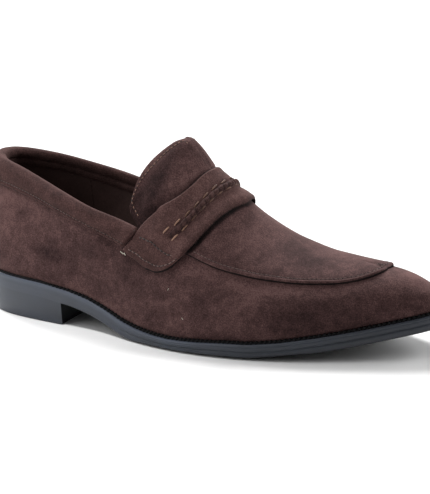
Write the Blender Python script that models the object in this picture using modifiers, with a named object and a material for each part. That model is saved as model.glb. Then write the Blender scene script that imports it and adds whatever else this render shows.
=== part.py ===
"""A suede saddle loafer for the right foot, standing on its sole.

The heel's back is at x = 0 and the toe points along +X. The outer side of the foot is -Y, the
inner side is +Y, and the floor is z = 0, until the shoe's root empty puts the origin under the
middle of the shoe.

Everything follows one form, the last. Each side of the last is a sheet with two coordinates:
along runs from the heel's back (0) to the toe's tip (1), and up runs from the edge of the sole
(0) to the topline, the tongue's edge or the ridge of the vamp (1).
"""

from collections import namedtuple

import bmesh
import bpy
import numpy as np

MM = 0.001

# Driving sizes, in metres
LENGTH = 0.292
BALL_WIDTH = 0.0985
TONGUE_HEIGHT = 0.1085
HEEL_LENGTH = 0.068
HEEL_HEIGHT = 0.0140
TOE_SPRING = 0.0160

# Thicknesses and clearances, in metres
SOLE_THICKNESS = 0.0084
WELT_THICKNESS = 0.0014
UPPER_WALL = 0.0018
APRON_THICKNESS = 0.0013
BAND_THICKNESS = 0.0011
TONGUE_THICKNESS = 0.0018
INSOLE_THICKNESS = 0.0034
WELT_WIDTH = 0.0045
GAP = 0.0003
OVERLAY_GAP = 0.0004
FACET_GAP = 0.0006

# How far the edge of the sole stands out past the upper, at the heel and at the ball
EDGE_AT_HEEL = 0.0014
EDGE_AT_BALL = 0.0030
WELT_SHARE_OF_EDGE = 0.45

# The heel: how far it draws in towards the floor, and the hollow of its breast
HEEL_INSET = 0.0002
HEEL_TAPER_SIDE = 0.0006
HEEL_TAPER_BACK = 0.0020
HEEL_BREAST_HOLLOW = 0.0025

# How finely each piece is drawn: rows up the wall or across the piece, and columns along it
OUTLINE_STEPS = 600
UPPER_ROWS, UPPER_COLUMNS = 11, 43
APRON_ROWS, BAND_ROWS = 7, 4
TONGUE_ROWS, TONGUE_COLUMNS = 8, 20
STRAP_ROWS, ROLL_ROWS, ROLL_COLUMNS = 17, 13, 6
SOLE_COLUMNS, INSOLE_COLUMNS, HEEL_COLUMNS, BREAST_COLUMNS = 47, 41, 27, 9

OUTER, INNER = -1, 1

# The sole's outline: x as a share of LENGTH, y as a share of BALL_WIDTH
OutlinePoint = namedtuple("OutlinePoint", "x y")
OUTER_OUTLINE = [
    OutlinePoint(0.000, 0.000),
    OutlinePoint(0.032, -0.218),
    OutlinePoint(0.103, -0.317),
    OutlinePoint(0.190, -0.359),
    OutlinePoint(0.233, -0.374),
    OutlinePoint(0.325, -0.407),
    OutlinePoint(0.411, -0.480),
    OutlinePoint(0.514, -0.546),
    OutlinePoint(0.610, -0.548),
    OutlinePoint(0.702, -0.503),
    OutlinePoint(0.795, -0.402),
    OutlinePoint(0.884, -0.272),
    OutlinePoint(0.950, -0.158),
    OutlinePoint(0.984, -0.080),
]
INNER_OUTLINE = [
    OutlinePoint(1.000, 0.035),
    OutlinePoint(0.984, 0.148),
    OutlinePoint(0.935, 0.238),
    OutlinePoint(0.845, 0.346),
    OutlinePoint(0.757, 0.428),
    OutlinePoint(0.671, 0.462),
    OutlinePoint(0.575, 0.434),
    OutlinePoint(0.476, 0.365),
    OutlinePoint(0.377, 0.317),
    OutlinePoint(0.308, 0.308),
    OutlinePoint(0.233, 0.323),
    OutlinePoint(0.151, 0.325),
    OutlinePoint(0.068, 0.276),
    OutlinePoint(0.018, 0.160),
]

# The underside of the sole: height as a share of HEEL_HEIGHT behind the ball, and as a share of
# TOE_SPRING in front of it. The stretch between the two zeros lies flat on the floor.
SolePoint = namedtuple("SolePoint", "x height")
HEEL_SEAT = [
    SolePoint(0.000, 1.16),
    SolePoint(0.110, 1.09),
    SolePoint(0.233, 1.00),
    SolePoint(0.288, 0.84),
    SolePoint(0.336, 0.58),
    SolePoint(0.404, 0.20),
    SolePoint(0.473, 0.03),
    SolePoint(0.510, 0.00),
]
FOREFOOT = [
    SolePoint(0.660, 0.00),
    SolePoint(0.720, 0.09),
    SolePoint(0.788, 0.27),
    SolePoint(0.856, 0.49),
    SolePoint(0.925, 0.75),
    SolePoint(0.976, 0.95),
    SolePoint(1.000, 1.05),
]

# The sections of the last. top_x is a share of LENGTH, half_top a share of BALL_WIDTH and top_z a
# share of TONGUE_HEIGHT. Where half_top is below zero the two sides have met on the ridge. The rest
# shape the wall, in millimetres: it leaves the sole by rise and bulge, and reaches its top by spread
# and drop.
Section = namedtuple("Section", "along top_x half_top top_z rise bulge spread drop")
SECTIONS = [
    Section(0.000, 0.025, 0.000, 0.836, 30.0, 5.0, 5.0, 20.0),
    Section(0.038, 0.031, 0.068, 0.832, 29.0, 5.0, 5.0, 20.0),
    Section(0.076, 0.050, 0.122, 0.822, 28.0, 5.0, 4.5, 20.0),
    Section(0.143, 0.110, 0.188, 0.793, 25.0, 4.0, 4.5, 19.0),
    Section(0.220, 0.195, 0.260, 0.738, 22.0, 3.0, 4.5, 17.0),
    Section(0.280, 0.264, 0.310, 0.690, 20.0, 2.6, 5.0, 15.0),
    Section(0.340, 0.332, 0.332, 0.640, 19.0, 2.4, 6.0, 14.0),
    Section(0.375, 0.384, 0.284, 0.690, 20.0, 2.6, 10.0, 18.0),
    Section(0.405, 0.402, 0.183, 0.835, 22.0, 2.8, 16.0, 19.0),
    Section(0.435, 0.446, 0.075, 0.956, 24.0, 3.0, 18.0, 8.0),
    Section(0.450, 0.462, 0.030, 0.987, 25.0, 3.0, 19.0, 4.0),
    Section(0.460, 0.467, 0.000, 0.996, 26.0, 3.0, 20.0, 1.0),
    Section(0.515, 0.521, -0.160, 0.818, 26.0, 3.2, 20.0, 0.0),
    Section(0.600, 0.603, -0.160, 0.606, 25.0, 3.4, 24.0, 0.0),
    Section(0.683, 0.670, -0.160, 0.500, 23.0, 3.4, 26.0, 0.0),
    Section(0.770, 0.734, -0.160, 0.446, 20.0, 3.0, 25.0, 0.0),
    Section(0.860, 0.795, -0.160, 0.426, 18.0, 2.4, 23.0, 0.0),
    Section(0.933, 0.834, -0.160, 0.420, 15.3, 1.8, 22.0, 0.0),
    Section(1.000, 0.860, -0.160, 0.413, 13.8, 1.2, 20.4, 0.0),
]
SWING = [
    OutlinePoint(0.00, 0.000),
    OutlinePoint(0.12, 0.000),
    OutlinePoint(0.31, -0.022),
    OutlinePoint(0.46, 0.000),
    OutlinePoint(0.86, 0.030),
    OutlinePoint(1.00, 0.031),
]
RIDGE_STARTS = 0.460
LAST_RUN = 0.328
LAST_GIRTH = 0.085
SEAM_REACH = 0.008

# The collar's topline in front of the section where the last turns up to the tongue, and the seam
# under the collar band: x as a share of LENGTH, z as a share of TONGUE_HEIGHT.
HeightMark = namedtuple("HeightMark", "x z")
TOPLINE = [
    HeightMark(0.260, 0.693),
    HeightMark(0.332, 0.638),
    HeightMark(0.375, 0.604),
    HeightMark(0.408, 0.577),
    HeightMark(0.440, 0.548),
]
BAND_SEAM = [
    HeightMark(-0.020, 0.705),
    HeightMark(0.030, 0.697),
    HeightMark(0.093, 0.680),
    HeightMark(0.150, 0.655),
    HeightMark(0.216, 0.618),
    HeightMark(0.275, 0.579),
    HeightMark(0.336, 0.531),
    HeightMark(0.390, 0.477),
]

# Lines drawn on the last, each a row of along and up. The throat is the upper's top edge where it
# leaves the topline and runs under the strap, up to the ridge.
Mark = namedtuple("Mark", "along up")
THROAT = [
    Mark(0.400, 0.560),
    Mark(0.442, 0.495),
    Mark(0.460, 0.500),
    Mark(0.490, 0.570),
    Mark(0.510, 0.700),
    Mark(0.530, 0.900),
    Mark(0.540, 1.000),
]
TOPLINE_ENDS = 0.340
THROAT_BEGINS = 0.415
APRON_EDGE = [
    Mark(0.500, 0.430),
    Mark(0.530, 0.440),
    Mark(0.583, 0.452),
    Mark(0.665, 0.492),
    Mark(0.745, 0.505),
    Mark(0.815, 0.515),
    Mark(0.850, 0.545),
    Mark(0.885, 0.598),
    Mark(0.925, 0.697),
    Mark(0.960, 0.790),
    Mark(0.985, 0.834),
    Mark(1.000, 0.845),
]
APRON_BACK = [
    Mark(0.505, 0.420),
    Mark(0.525, 0.600),
    Mark(0.540, 0.870),
    Mark(0.550, 1.000),
]
BAND_SEAM_END = 0.3955
BAND_TOP_END = 0.4205
TONGUE_BACK = 0.377
TONGUE_LEAN = 0.095
TONGUE_FRONT = 0.585
TONGUE_TUCK = 0.120
TONGUE_CORNER = 0.16
TONGUE_CORNER_REACH = 0.28
TONGUE_DIVE = 0.0100
TONGUE_CLEAR = 0.0030

# The strap's two edges, from its sewn end on the side of the shoe (share 0) to the ridge (share 1)
StrapPoint = namedtuple("StrapPoint", "share back_along back_up front_along front_up")
STRAP_EDGES = [
    StrapPoint(0.00, 0.398, 0.485, 0.525, 0.430),
    StrapPoint(0.20, 0.424, 0.522, 0.537, 0.500),
    StrapPoint(0.40, 0.455, 0.545, 0.546, 0.580),
    StrapPoint(0.60, 0.482, 0.620, 0.556, 0.690),
    StrapPoint(0.80, 0.502, 0.790, 0.567, 0.840),
    StrapPoint(1.00, 0.509, 1.000, 0.575, 1.000),
]
STRAP_ROUND_END = 0.165
STRAP_END_SHARE = 0.66
STRAP_END_REACH = 0.40

# The strap's thickness across its width, in millimetres, from its flat back edge to its rolled front
StrapStep = namedtuple("StrapStep", "across thickness")
STRAP_PROFILE = [
    StrapStep(0.00, 0.9),
    StrapStep(0.06, 1.1),
    StrapStep(0.25, 1.2),
    StrapStep(0.45, 1.1),
    StrapStep(0.60, 1.3),
    StrapStep(0.80, 2.0),
    StrapStep(0.93, 1.9),
    StrapStep(1.00, 1.2),
]

# The strap clears the apron over the first share of its width
STRAP_CLIMB = 0.45

# The rolled seam along the strap: where it runs, how far it reaches, its width and its height
ROLL_PLACE = 0.46
ROLL_DRIFT = 0.06
ROLL_HALF_WIDTH = 0.085
ROLL_START = 0.30
ROLL_HEIGHT = 0.0017
ROLL_EDGE = 0.0003
ROLL_LOW_END = 0.30
ROLL_FADE = 0.22


def rising(keys, values, at):
    """A smooth curve through the rows that never swings past them (monotone cubic)."""
    keys, values, at = (np.asarray(a, float) for a in (keys, values, at))
    step = np.diff(keys)
    slope = np.diff(values) / step
    before, after = slope[:-1], slope[1:]
    same_way = before * after > 0
    weight_a, weight_b = 2 * step[1:] + step[:-1], step[1:] + 2 * step[:-1]
    safe_a, safe_b = np.where(same_way, before, 1.0), np.where(same_way, after, 1.0)
    inner = (weight_a + weight_b) / (weight_a / safe_a + weight_b / safe_b)
    tangent = np.concatenate([slope[:1], np.where(same_way, inner, 0.0), slope[-1:]])
    cell = np.clip(np.searchsorted(keys, at, side="right") - 1, 0, len(step) - 1)
    t = np.clip((at - keys[cell]) / step[cell], 0.0, 1.0)
    return (
        values[cell] * (1 + 2 * t) * (1 - t) ** 2
        + values[cell + 1] * t**2 * (3 - 2 * t)
        + step[cell] * tangent[cell] * t * (1 - t) ** 2
        - step[cell] * tangent[cell + 1] * t**2 * (1 - t)
    )


def closed_spline(points, count):
    """Count points, evenly spaced in the spline's own parameter, on a closed smooth curve."""
    points = np.asarray(points, float)
    size = len(points)
    chord = np.linalg.norm(np.roll(points, -1, axis=0) - points, axis=1)
    before = np.roll(chord, 1)
    system = np.zeros((size, size))
    right = np.zeros_like(points)
    for i in range(size):
        system[i, i - 1] = chord[i]
        system[i, i] = 2 * (chord[i] + before[i])
        system[i, (i + 1) % size] = before[i]
        ahead = (points[(i + 1) % size] - points[i]) / chord[i]
        behind = (points[i] - points[i - 1]) / before[i]
        right[i] = 3 * (chord[i] * behind + before[i] * ahead)
    tangent = np.linalg.solve(system, right)
    place = np.linspace(0, chord.sum(), count, endpoint=False)
    starts = np.concatenate([[0], np.cumsum(chord)])
    cell = np.clip(np.searchsorted(starts, place, side="right") - 1, 0, size - 1)
    t = ((place - starts[cell]) / chord[cell])[:, None]
    ahead = (cell + 1) % size
    span = chord[cell][:, None]
    return (
        points[cell] * (1 + 2 * t) * (1 - t) ** 2
        + points[ahead] * t**2 * (3 - 2 * t)
        + span * tangent[cell] * t * (1 - t) ** 2
        - span * tangent[ahead] * t**2 * (1 - t)
    )


def sole_outline():
    """The two sides of the sole's edge, each from the heel's back to the toe's tip, evenly spaced."""
    rows = [(p.x * LENGTH, p.y * BALL_WIDTH) for p in OUTER_OUTLINE + INNER_OUTLINE]
    ring = closed_spline(rows, 4 * OUTLINE_STEPS)
    toe = int(np.argmin(np.linalg.norm(ring - np.array(rows[len(OUTER_OUTLINE)]), axis=1)))
    halves = {OUTER: ring[: toe + 1], INNER: np.vstack([ring[toe:], ring[:1]])[::-1]}
    for side, half in halves.items():
        walked = np.concatenate([[0], np.cumsum(np.linalg.norm(np.diff(half, axis=0), axis=1))])
        even = np.linspace(0, walked[-1], OUTLINE_STEPS + 1)
        halves[side] = np.column_stack([np.interp(even, walked, half[:, axis]) for axis in (0, 1)])
    return halves


OUTLINE = sole_outline()
OUTLINE_SHARES = np.linspace(0, 1, OUTLINE_STEPS + 1)


def edge_point(side, along):
    """A point of the sole's edge, in plan."""
    half = OUTLINE[side]
    return np.stack([np.interp(along, OUTLINE_SHARES, half[:, axis]) for axis in (0, 1)], axis=-1)


def edge_normal(side, along):
    """The direction straight out of the sole's edge, in plan."""
    reach = 0.012
    ahead = edge_point(side, np.clip(along + reach, 0, 1))
    behind = edge_point(side, np.clip(along - reach, 0, 1))
    run = ahead - behind
    out = np.stack([run[..., 1], -run[..., 0]], axis=-1) * -side
    out = out / np.linalg.norm(out, axis=-1, keepdims=True)
    ends = np.clip(np.minimum(along, 1 - along) / reach, 0, 1)[..., None]
    straight = np.stack([np.where(along < 0.5, -1.0, 1.0), np.zeros_like(along)], axis=-1)
    mixed = out * ends + straight * (1 - ends)
    return mixed / np.linalg.norm(mixed, axis=-1, keepdims=True)


def sole_underside(x):
    """The height of the sole's underside at a distance from the heel's back."""
    rows = [(p.x * LENGTH, p.height * HEEL_HEIGHT) for p in HEEL_SEAT]
    rows += [(p.x * LENGTH, p.height * TOE_SPRING) for p in FOREFOOT]
    keys, heights = zip(*rows)
    return rising(keys, heights, np.clip(x, 0, LENGTH))


def sole_top(x):
    return sole_underside(x) + SOLE_THICKNESS


def inset_edge(side, along, inset):
    """The sole's edge drawn in by inset, in plan."""
    return edge_point(side, along) - edge_normal(side, along) * np.asarray(inset)[..., None]


def edge_width(along):
    """How far the sole's edge stands out past the upper."""
    return EDGE_AT_HEEL + (EDGE_AT_BALL - EDGE_AT_HEEL) * smooth((along - 0.2) / 0.25)


def smooth(t):
    t = np.clip(t, 0.0, 1.0)
    return t * t * (3 - 2 * t)


def section_column(name, along, odd=False):
    """A column of the section table, carried on past the heel's back and the toe as a mirror image."""
    keys = [s.along for s in SECTIONS]
    values = [getattr(s, name) for s in SECTIONS]
    mirror = -1 if odd else 1
    behind = [mirror * v for v in values[2:0:-1]]
    ahead = values[-2:-4:-1]
    keys = [-k for k in keys[2:0:-1]] + keys + [2 - k for k in keys[-2:-4:-1]]
    return rising(keys, behind + values + ahead, along)


def last_point(side, along, up):
    """A point on the last: a cubic arc from the sole's edge to the top, for each along."""
    along, up = np.broadcast_arrays(np.asarray(along, float), np.asarray(up, float))
    plan = inset_edge(side, along, edge_width(along))
    out = edge_normal(side, along)
    floor = sole_top(plan[..., 0]) + 2 * GAP + WELT_THICKNESS
    foot = np.concatenate([plan, floor[..., None]], axis=-1)
    top = top_point(side, along)
    lift = np.stack([np.zeros_like(along), np.zeros_like(along), np.ones_like(along)], axis=-1)
    outward = np.concatenate([out, np.zeros_like(along)[..., None]], axis=-1)
    rise = section_column("rise", along)[..., None] * MM
    bulge = section_column("bulge", along)[..., None] * MM
    spread = section_column("spread", along)[..., None] * MM
    drop = section_column("drop", along)[..., None] * MM
    first = foot + lift * rise + outward * bulge
    second = top + crown_direction(foot, top, along) * spread - lift * drop
    t = up[..., None]
    return (
        foot * (1 - t) ** 3
        + 3 * first * t * (1 - t) ** 2
        + 3 * second * t**2 * (1 - t)
        + top * t**3
    )


def top_point(side, along):
    """The top of the last: the topline, then the tongue's edge, then the ridge of the vamp."""
    x = section_column("top_x", along) * LENGTH
    y = side * np.maximum(section_column("half_top", along, odd=True), 0.0) * BALL_WIDTH
    z = section_column("top_z", along) * TONGUE_HEIGHT
    return np.stack([x, y + ridge_shift(x), z], axis=-1)


def ridge_shift(x):
    """The top of the last swings a little to the outer side at the collar, then to the inner side."""
    keys = [p.x * LENGTH for p in SWING]
    return rising(keys, [p.y * BALL_WIDTH for p in SWING], np.clip(x, 0, LENGTH))


def crown_direction(foot, top, along):
    """From the top towards the sole's edge, along the ridge's own slope where there is a ridge."""
    reach = 0.01
    place = np.minimum(along, 1 - 3 * reach)
    ahead, behind = place + reach, place - reach
    slope = (section_column("top_z", ahead) - section_column("top_z", behind)) * TONGUE_HEIGHT
    run = (section_column("top_x", ahead) - section_column("top_x", behind)) * LENGTH
    fall = smooth((along - RIDGE_STARTS) / 0.03) * slope / np.maximum(run, MM)
    away = (foot - top)[..., :2]
    away = away / np.maximum(np.linalg.norm(away, axis=-1, keepdims=True), MM)
    return np.concatenate([away, (away[..., 0] * fall)[..., None]], axis=-1)


def side_normal(side, along, up):
    """The direction straight out of one side of the last, a little way in from its edges."""
    along = np.clip(along, SEAM_REACH, 1 - SEAM_REACH)
    up = np.clip(up, SEAM_REACH, 1 - SEAM_REACH)
    run = last_point(side, along + SEAM_REACH, up) - last_point(side, along - SEAM_REACH, up)
    climb = last_point(side, along, up + SEAM_REACH) - last_point(side, along, up - SEAM_REACH)
    out = np.cross(run, climb) * -side
    return out / np.linalg.norm(out, axis=-1, keepdims=True)


def last_normal(side, along, up):
    """The direction straight out of the last, shared by both sides where they meet."""
    ridge = np.where(along >= RIDGE_STARTS, 1 - (1 - up) / SEAM_REACH, 0.0)
    shared = np.maximum(ridge, 1 - np.minimum(along, 1 - along) / SEAM_REACH)
    shared = (np.clip(shared, 0, 1) / 2)[..., None]
    out = side_normal(side, along, up) * (1 - shared) + side_normal(-side, along, up) * shared
    return out / np.linalg.norm(out, axis=-1, keepdims=True)


def skin(side, along, up, offset):
    """A point that lies offset outside the last, or inside it where offset is negative."""
    along, up = np.broadcast_arrays(np.asarray(along, float), np.asarray(up, float))
    return last_point(side, along, up) + last_normal(side, along, up) * np.asarray(offset)[..., None]


def marked(marks, along):
    """How high a line drawn on the last runs, at a place along the shoe."""
    return rising([m.along for m in marks], [m.up for m in marks], along)


def up_at_height(side, along, marks):
    """How far up the last a line runs that is drawn by its height over the floor."""
    keys = [m.x * LENGTH for m in marks]
    heights = [m.z * TONGUE_HEIGHT for m in marks]
    low, high = np.zeros_like(along), np.ones_like(along)
    for _ in range(24):
        middle = (low + high) / 2
        place = last_point(side, along, middle)
        over = place[..., 2] > rising(keys, heights, place[..., 0])
        low, high = np.where(over, low, middle), np.where(over, middle, high)
    return high


def throat_up(side, along):
    """The upper's top edge: the topline, then the throat that the strap hides."""
    along = np.asarray(along, float)
    collar = np.where(along > TOPLINE_ENDS, up_at_height(side, along, TOPLINE), 1.0)
    hidden = np.clip(marked(THROAT, along), 0, 1)
    return collar + (hidden - collar) * smooth((along - THROAT_BEGINS) / 0.025)


def above_throat(side, along, up):
    """About how far a place lies outside the upper's throat, in metres."""
    reach = 0.005
    steep = (throat_up(side, along + reach) - throat_up(side, along - reach)) / (2 * reach)
    across = np.sqrt(1 + (steep * LAST_GIRTH / LAST_RUN) ** 2)
    return (up - throat_up(side, along)) * LAST_GIRTH / across


def apron_up(along):
    return marked(APRON_EDGE, along)


def apron_back(up):
    return rising([m.up for m in APRON_BACK], [m.along for m in APRON_BACK], up)


def strap_place(across, share):
    """A place on the strap: across runs from its back edge to its front, share from end to ridge."""
    keys = [p.share for p in STRAP_EDGES]
    past = STRAP_EDGES[-2]
    over = keys + [2 - past.share]
    back_along = rising(over, [p.back_along for p in STRAP_EDGES + [past]], share)
    front_along = rising(over, [p.front_along for p in STRAP_EDGES + [past]], share)
    back_up = rising(keys, [p.back_up for p in STRAP_EDGES], share)
    front_up = rising(keys, [p.front_up for p in STRAP_EDGES], share)
    dip = STRAP_ROUND_END * 4 * across * (1 - across) * (1 - share) ** 2
    along = back_along + (front_along - back_along) * across
    up = back_up + (front_up - back_up) * across - dip
    return along, up


def strap_lift(across, share):
    """The strap lies flat along its back edge and clears the apron where it crosses it."""
    along, up = strap_place(across, share)
    over_apron = smooth((up - apron_up(along)) / 0.10 + 0.9) * smooth(across / STRAP_CLIMB)
    return FACET_GAP + (FACET_GAP + APRON_THICKNESS) * over_apron


def strap_thickness(across, share):
    """The strap's thickness, less at its sewn end."""
    full = rising([p.across for p in STRAP_PROFILE], [p.thickness for p in STRAP_PROFILE], across) * MM
    return full * (STRAP_END_SHARE + (1 - STRAP_END_SHARE) * smooth(share / STRAP_END_REACH))


def stations(first, last, count):
    """Places along the shoe, closer together towards the heel's back and the toe's tip."""
    even = np.linspace(first, last, count)
    bunched = 0.5 - 0.5 * np.cos(np.pi * even)
    return 0.55 * even + 0.45 * bunched


def upper_stations():
    """The places of the upper's columns, twice as close together round the throat."""
    places = stations(0, 1, UPPER_COLUMNS)
    between = (places[1:] + places[:-1]) / 2
    close = (between > TOPLINE_ENDS - 0.01) & (between < APRON_BACK[-1].along)
    return np.sort(np.append(places, between[close]))


UPPER_STATIONS = upper_stations()


def new_object(name, mesh, material, collection, root):
    obj = bpy.data.objects.new(name, mesh)
    obj.data.materials.append(material)
    obj.parent = root
    collection.objects.link(obj)
    return obj


def sheet_mesh(name, grids, weld=1e-5, closed=False):
    """One sheet from grids of points, (rows, columns, 3), welded where their edges meet."""
    sheet = bmesh.new()
    for points, flip in grids:
        rows, columns = points.shape[:2]
        verts = [[sheet.verts.new(points[r, c]) for c in range(columns)] for r in range(rows)]
        for r in range(rows - 1):
            for c in range(columns - 1):
                face = [verts[r][c], verts[r][c + 1], verts[r + 1][c + 1], verts[r + 1][c]]
                sheet.faces.new(face[::-1] if flip else face)
    bmesh.ops.remove_doubles(sheet, verts=sheet.verts, dist=weld)
    bmesh.ops.dissolve_degenerate(sheet, edges=sheet.edges, dist=weld)
    if closed:
        bmesh.ops.recalc_face_normals(sheet, faces=sheet.faces)
    mesh = bpy.data.meshes.new(name)
    sheet.to_mesh(mesh)
    sheet.free()
    mesh.shade_smooth()
    return mesh


def add_wall(obj, thickness, outward, even=True):
    wall = obj.modifiers.new("wall", "SOLIDIFY")
    wall.thickness = thickness
    wall.offset = 1.0 if outward else -1.0
    wall.use_even_offset = even
    wall.use_rim = True


def both_sides(make):
    """A pair of grids, one for each side of the shoe, facing out."""
    return [(make(OUTER), False), (make(INNER), True)]


def make_upper(material, collection, root):
    """Vamp and quarters in one hollow wall, open at the collar and underneath."""
    along = UPPER_STATIONS[None, :]
    share = np.linspace(0, 1, UPPER_ROWS)[:, None]
    grids = both_sides(lambda side: last_point(side, along, share * throat_up(side, along)))
    mesh = sheet_mesh("upper", grids)
    obj = new_object("upper", mesh, material, collection, root)
    add_wall(obj, UPPER_WALL, outward=False)


def make_apron(material, collection, root):
    """The plug of the vamp, laid over it from under the strap to the toe."""
    share = np.linspace(0, 1, APRON_ROWS)[:, None]
    places = UPPER_STATIONS[UPPER_STATIONS > APRON_BACK[-1].along][None, :]
    low_back = APRON_BACK[0].up
    back = apron_back(low_back + (1 - low_back) * share)
    walked = (places - places[0, 0]) / (1 - places[0, 0])
    along = places + (back - places[0, 0]) * (1 - walked) ** 4
    low = apron_up(along)
    up = low + (1 - low) * share
    grids = both_sides(lambda side: skin(side, along, up, np.full(up.shape, OVERLAY_GAP)))
    obj = new_object("apron", sheet_mesh("apron", grids), material, collection, root)
    add_wall(obj, APRON_THICKNESS, outward=True)


def make_collar_band(material, collection, root):
    """The folded band sewn round the collar, from one end of the strap to the other."""
    share = np.linspace(0, 1, BAND_ROWS)[:, None]
    end = BAND_SEAM_END
    low_along = np.append(UPPER_STATIONS[UPPER_STATIONS < end - 0.006], end)[None, :]
    top_along = low_along + (BAND_TOP_END - end) * (low_along / end) ** 4
    along = low_along + (top_along - low_along) * share
    lift = OVERLAY_GAP * (1 + 2 * (low_along / end) ** 4) * np.ones_like(along)

    def grid(side):
        low_up = up_at_height(side, low_along, BAND_SEAM)
        up = low_up + (throat_up(side, top_along) - low_up) * share
        return skin(side, along, up, lift)

    mesh = sheet_mesh("collar_band", both_sides(grid))
    obj = new_object("collar_band", mesh, material, collection, root)
    add_wall(obj, BAND_THICKNESS, outward=True)


def make_tongue(material, collection, root):
    """The tongue: it comes up through the throat behind the strap and tucks in at its sides."""
    columns = np.linspace(0, 1, TONGUE_COLUMNS)[None, :]
    share = np.linspace(0, 1, TONGUE_ROWS)[:, None]
    nominal = TONGUE_BACK + 0.03 + (TONGUE_FRONT - TONGUE_BACK - 0.03) * columns
    corner = TONGUE_CORNER * np.clip(1 - columns / TONGUE_CORNER_REACH, 0, 1) ** 2

    def grid(side):
        low = throat_up(side, nominal) - TONGUE_TUCK
        up = low + (1 - corner - low) * share
        back = TONGUE_BACK + TONGUE_LEAN * (1 - up)
        along = back + (TONGUE_FRONT - back) * columns
        covered = smooth((TONGUE_DIVE - above_throat(side, along, up)) / (TONGUE_DIVE - TONGUE_CLEAR))
        inset = FACET_GAP / 2 + (UPPER_WALL + 1.5 * FACET_GAP) * covered
        return skin(side, along, up, -inset)

    mesh = sheet_mesh("tongue", both_sides(grid), weld=2e-4)
    obj = new_object("tongue", mesh, material, collection, root)
    add_wall(obj, TONGUE_THICKNESS, outward=False, even=False)


def closed_between(name, under, over, material, collection, root):
    """A closed solid between two skins of the same shape, each given for the outer and inner side."""
    solid = bmesh.new()
    layers = []
    for pair in (under, over):
        points = np.vstack([pair[0], pair[1][-2::-1]])
        layers.append([[solid.verts.new(p) for p in row] for row in points])
    below, above = layers
    rows, columns = len(below), len(below[0])
    for r in range(rows - 1):
        for c in range(columns - 1):
            solid.faces.new([above[r][c], above[r][c + 1], above[r + 1][c + 1], above[r + 1][c]])
            solid.faces.new([below[r][c], below[r + 1][c], below[r + 1][c + 1], below[r][c + 1]])
    for c in range(columns - 1):
        for r in (0, rows - 1):
            solid.faces.new([below[r][c], below[r][c + 1], above[r][c + 1], above[r][c]])
    for r in range(rows - 1):
        for c in (0, columns - 1):
            solid.faces.new([below[r][c], below[r + 1][c], above[r + 1][c], above[r][c]])
    bmesh.ops.recalc_face_normals(solid, faces=solid.faces)
    mesh = bpy.data.meshes.new(name)
    solid.to_mesh(mesh)
    solid.free()
    new_object(name, mesh, material, collection, root)


def strap_skin(across, share, height):
    """Both sides of a skin that lies height above the strap's own underside."""
    along, up = strap_place(across, share)
    lift = strap_lift(across, share) + height
    return [skin(side, along, up, lift) for side in (OUTER, INNER)]


def make_strap(material, collection, root):
    """The saddle strap, from its sewn end on one side over the instep to the other."""
    across = np.array([p.across for p in STRAP_PROFILE])[None, :]
    share = np.linspace(0, 1, STRAP_ROWS)[:, None]
    thickness = strap_thickness(across, share)
    under = strap_skin(across, share, 0 * thickness)
    over = strap_skin(across, share, thickness)
    closed_between("saddle_strap", under, over, material, collection, root)


def make_strap_ridge(material, collection, root):
    """The rolled, hand-sewn seam that stands up along the middle of the strap."""
    turn = np.linspace(-1, 1, ROLL_COLUMNS)[None, :]
    share = ROLL_START + (1 - ROLL_START) * np.linspace(0, 1, ROLL_ROWS)[:, None]
    middle = ROLL_PLACE + ROLL_DRIFT * (1 - share) ** 2
    across = middle + ROLL_HALF_WIDTH * np.sin(turn * np.pi / 2)
    base = strap_thickness(across, share) + FACET_GAP / 2
    grown = ROLL_LOW_END + (1 - ROLL_LOW_END) * smooth((share - ROLL_START) / ROLL_FADE)
    crown = ROLL_EDGE + (ROLL_HEIGHT * grown - ROLL_EDGE) * np.cos(turn * np.pi / 2)
    under = strap_skin(across, share, base)
    over = strap_skin(across, share, base + crown)
    closed_between("strap_ridge", under, over, material, collection, root)


# The side of the sole: depth below its top as a share of SOLE_THICKNESS, and how far it is drawn
# in, in millimetres. The groove runs round the forefoot only.
SideStep = namedtuple("SideStep", "depth drawn_in groove")
SOLE_SIDE = [
    SideStep(0.00, 0.7, 0.0),
    SideStep(0.10, 0.0, 0.0),
    SideStep(0.50, 0.0, 0.0),
    SideStep(0.545, 0.0, 0.6),
    SideStep(0.60, 0.0, 0.6),
    SideStep(0.645, 0.1, 0.0),
    SideStep(0.92, 0.3, 0.0),
    SideStep(1.00, 1.0, 0.0),
]
GROOVE_STARTS = 0.36


def solid_from_rings(name, rings, material, collection, root):
    """A closed solid from rings of paired points: rings[level] is (2, columns, 3), outer and inner."""
    outer = np.stack([ring[0] for ring in rings])
    inner = np.stack([ring[1] for ring in rings])
    caps = [(np.stack(rings[0][::-1]), False), (np.stack(rings[-1]), False)]
    mesh = sheet_mesh(name, [(outer, True), (inner, False)] + caps, closed=True)
    return new_object(name, mesh, material, collection, root)


def plan_ring(along, inset, height):
    """Both sides of an inset outline, lifted to a height that is a function of x."""
    halves = []
    for side in (OUTER, INNER):
        plan = inset_edge(side, along, np.broadcast_to(inset, along.shape))
        halves.append(np.column_stack([plan, height(plan[:, 0])]))
    middle = [(halves[0][i] + halves[1][i]) / 2 for i in (0, -1)]
    for half in halves:
        half[0], half[-1] = middle
    return np.stack(halves)


def make_outsole(material, collection, root):
    """One rubber sole from heel seat to toe, with a groove round the forefoot's side."""
    along = stations(0, 1, SOLE_COLUMNS)
    grooved = smooth((along - GROOVE_STARTS) / 0.06)
    rings = []
    for step in SOLE_SIDE:
        inset = (step.drawn_in + step.groove * grooved) * MM
        rings.append(plan_ring(along, inset, lambda x, d=step.depth: sole_top(x) - d * SOLE_THICKNESS))
    solid_from_rings("outsole", rings, material, collection, root)


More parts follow.
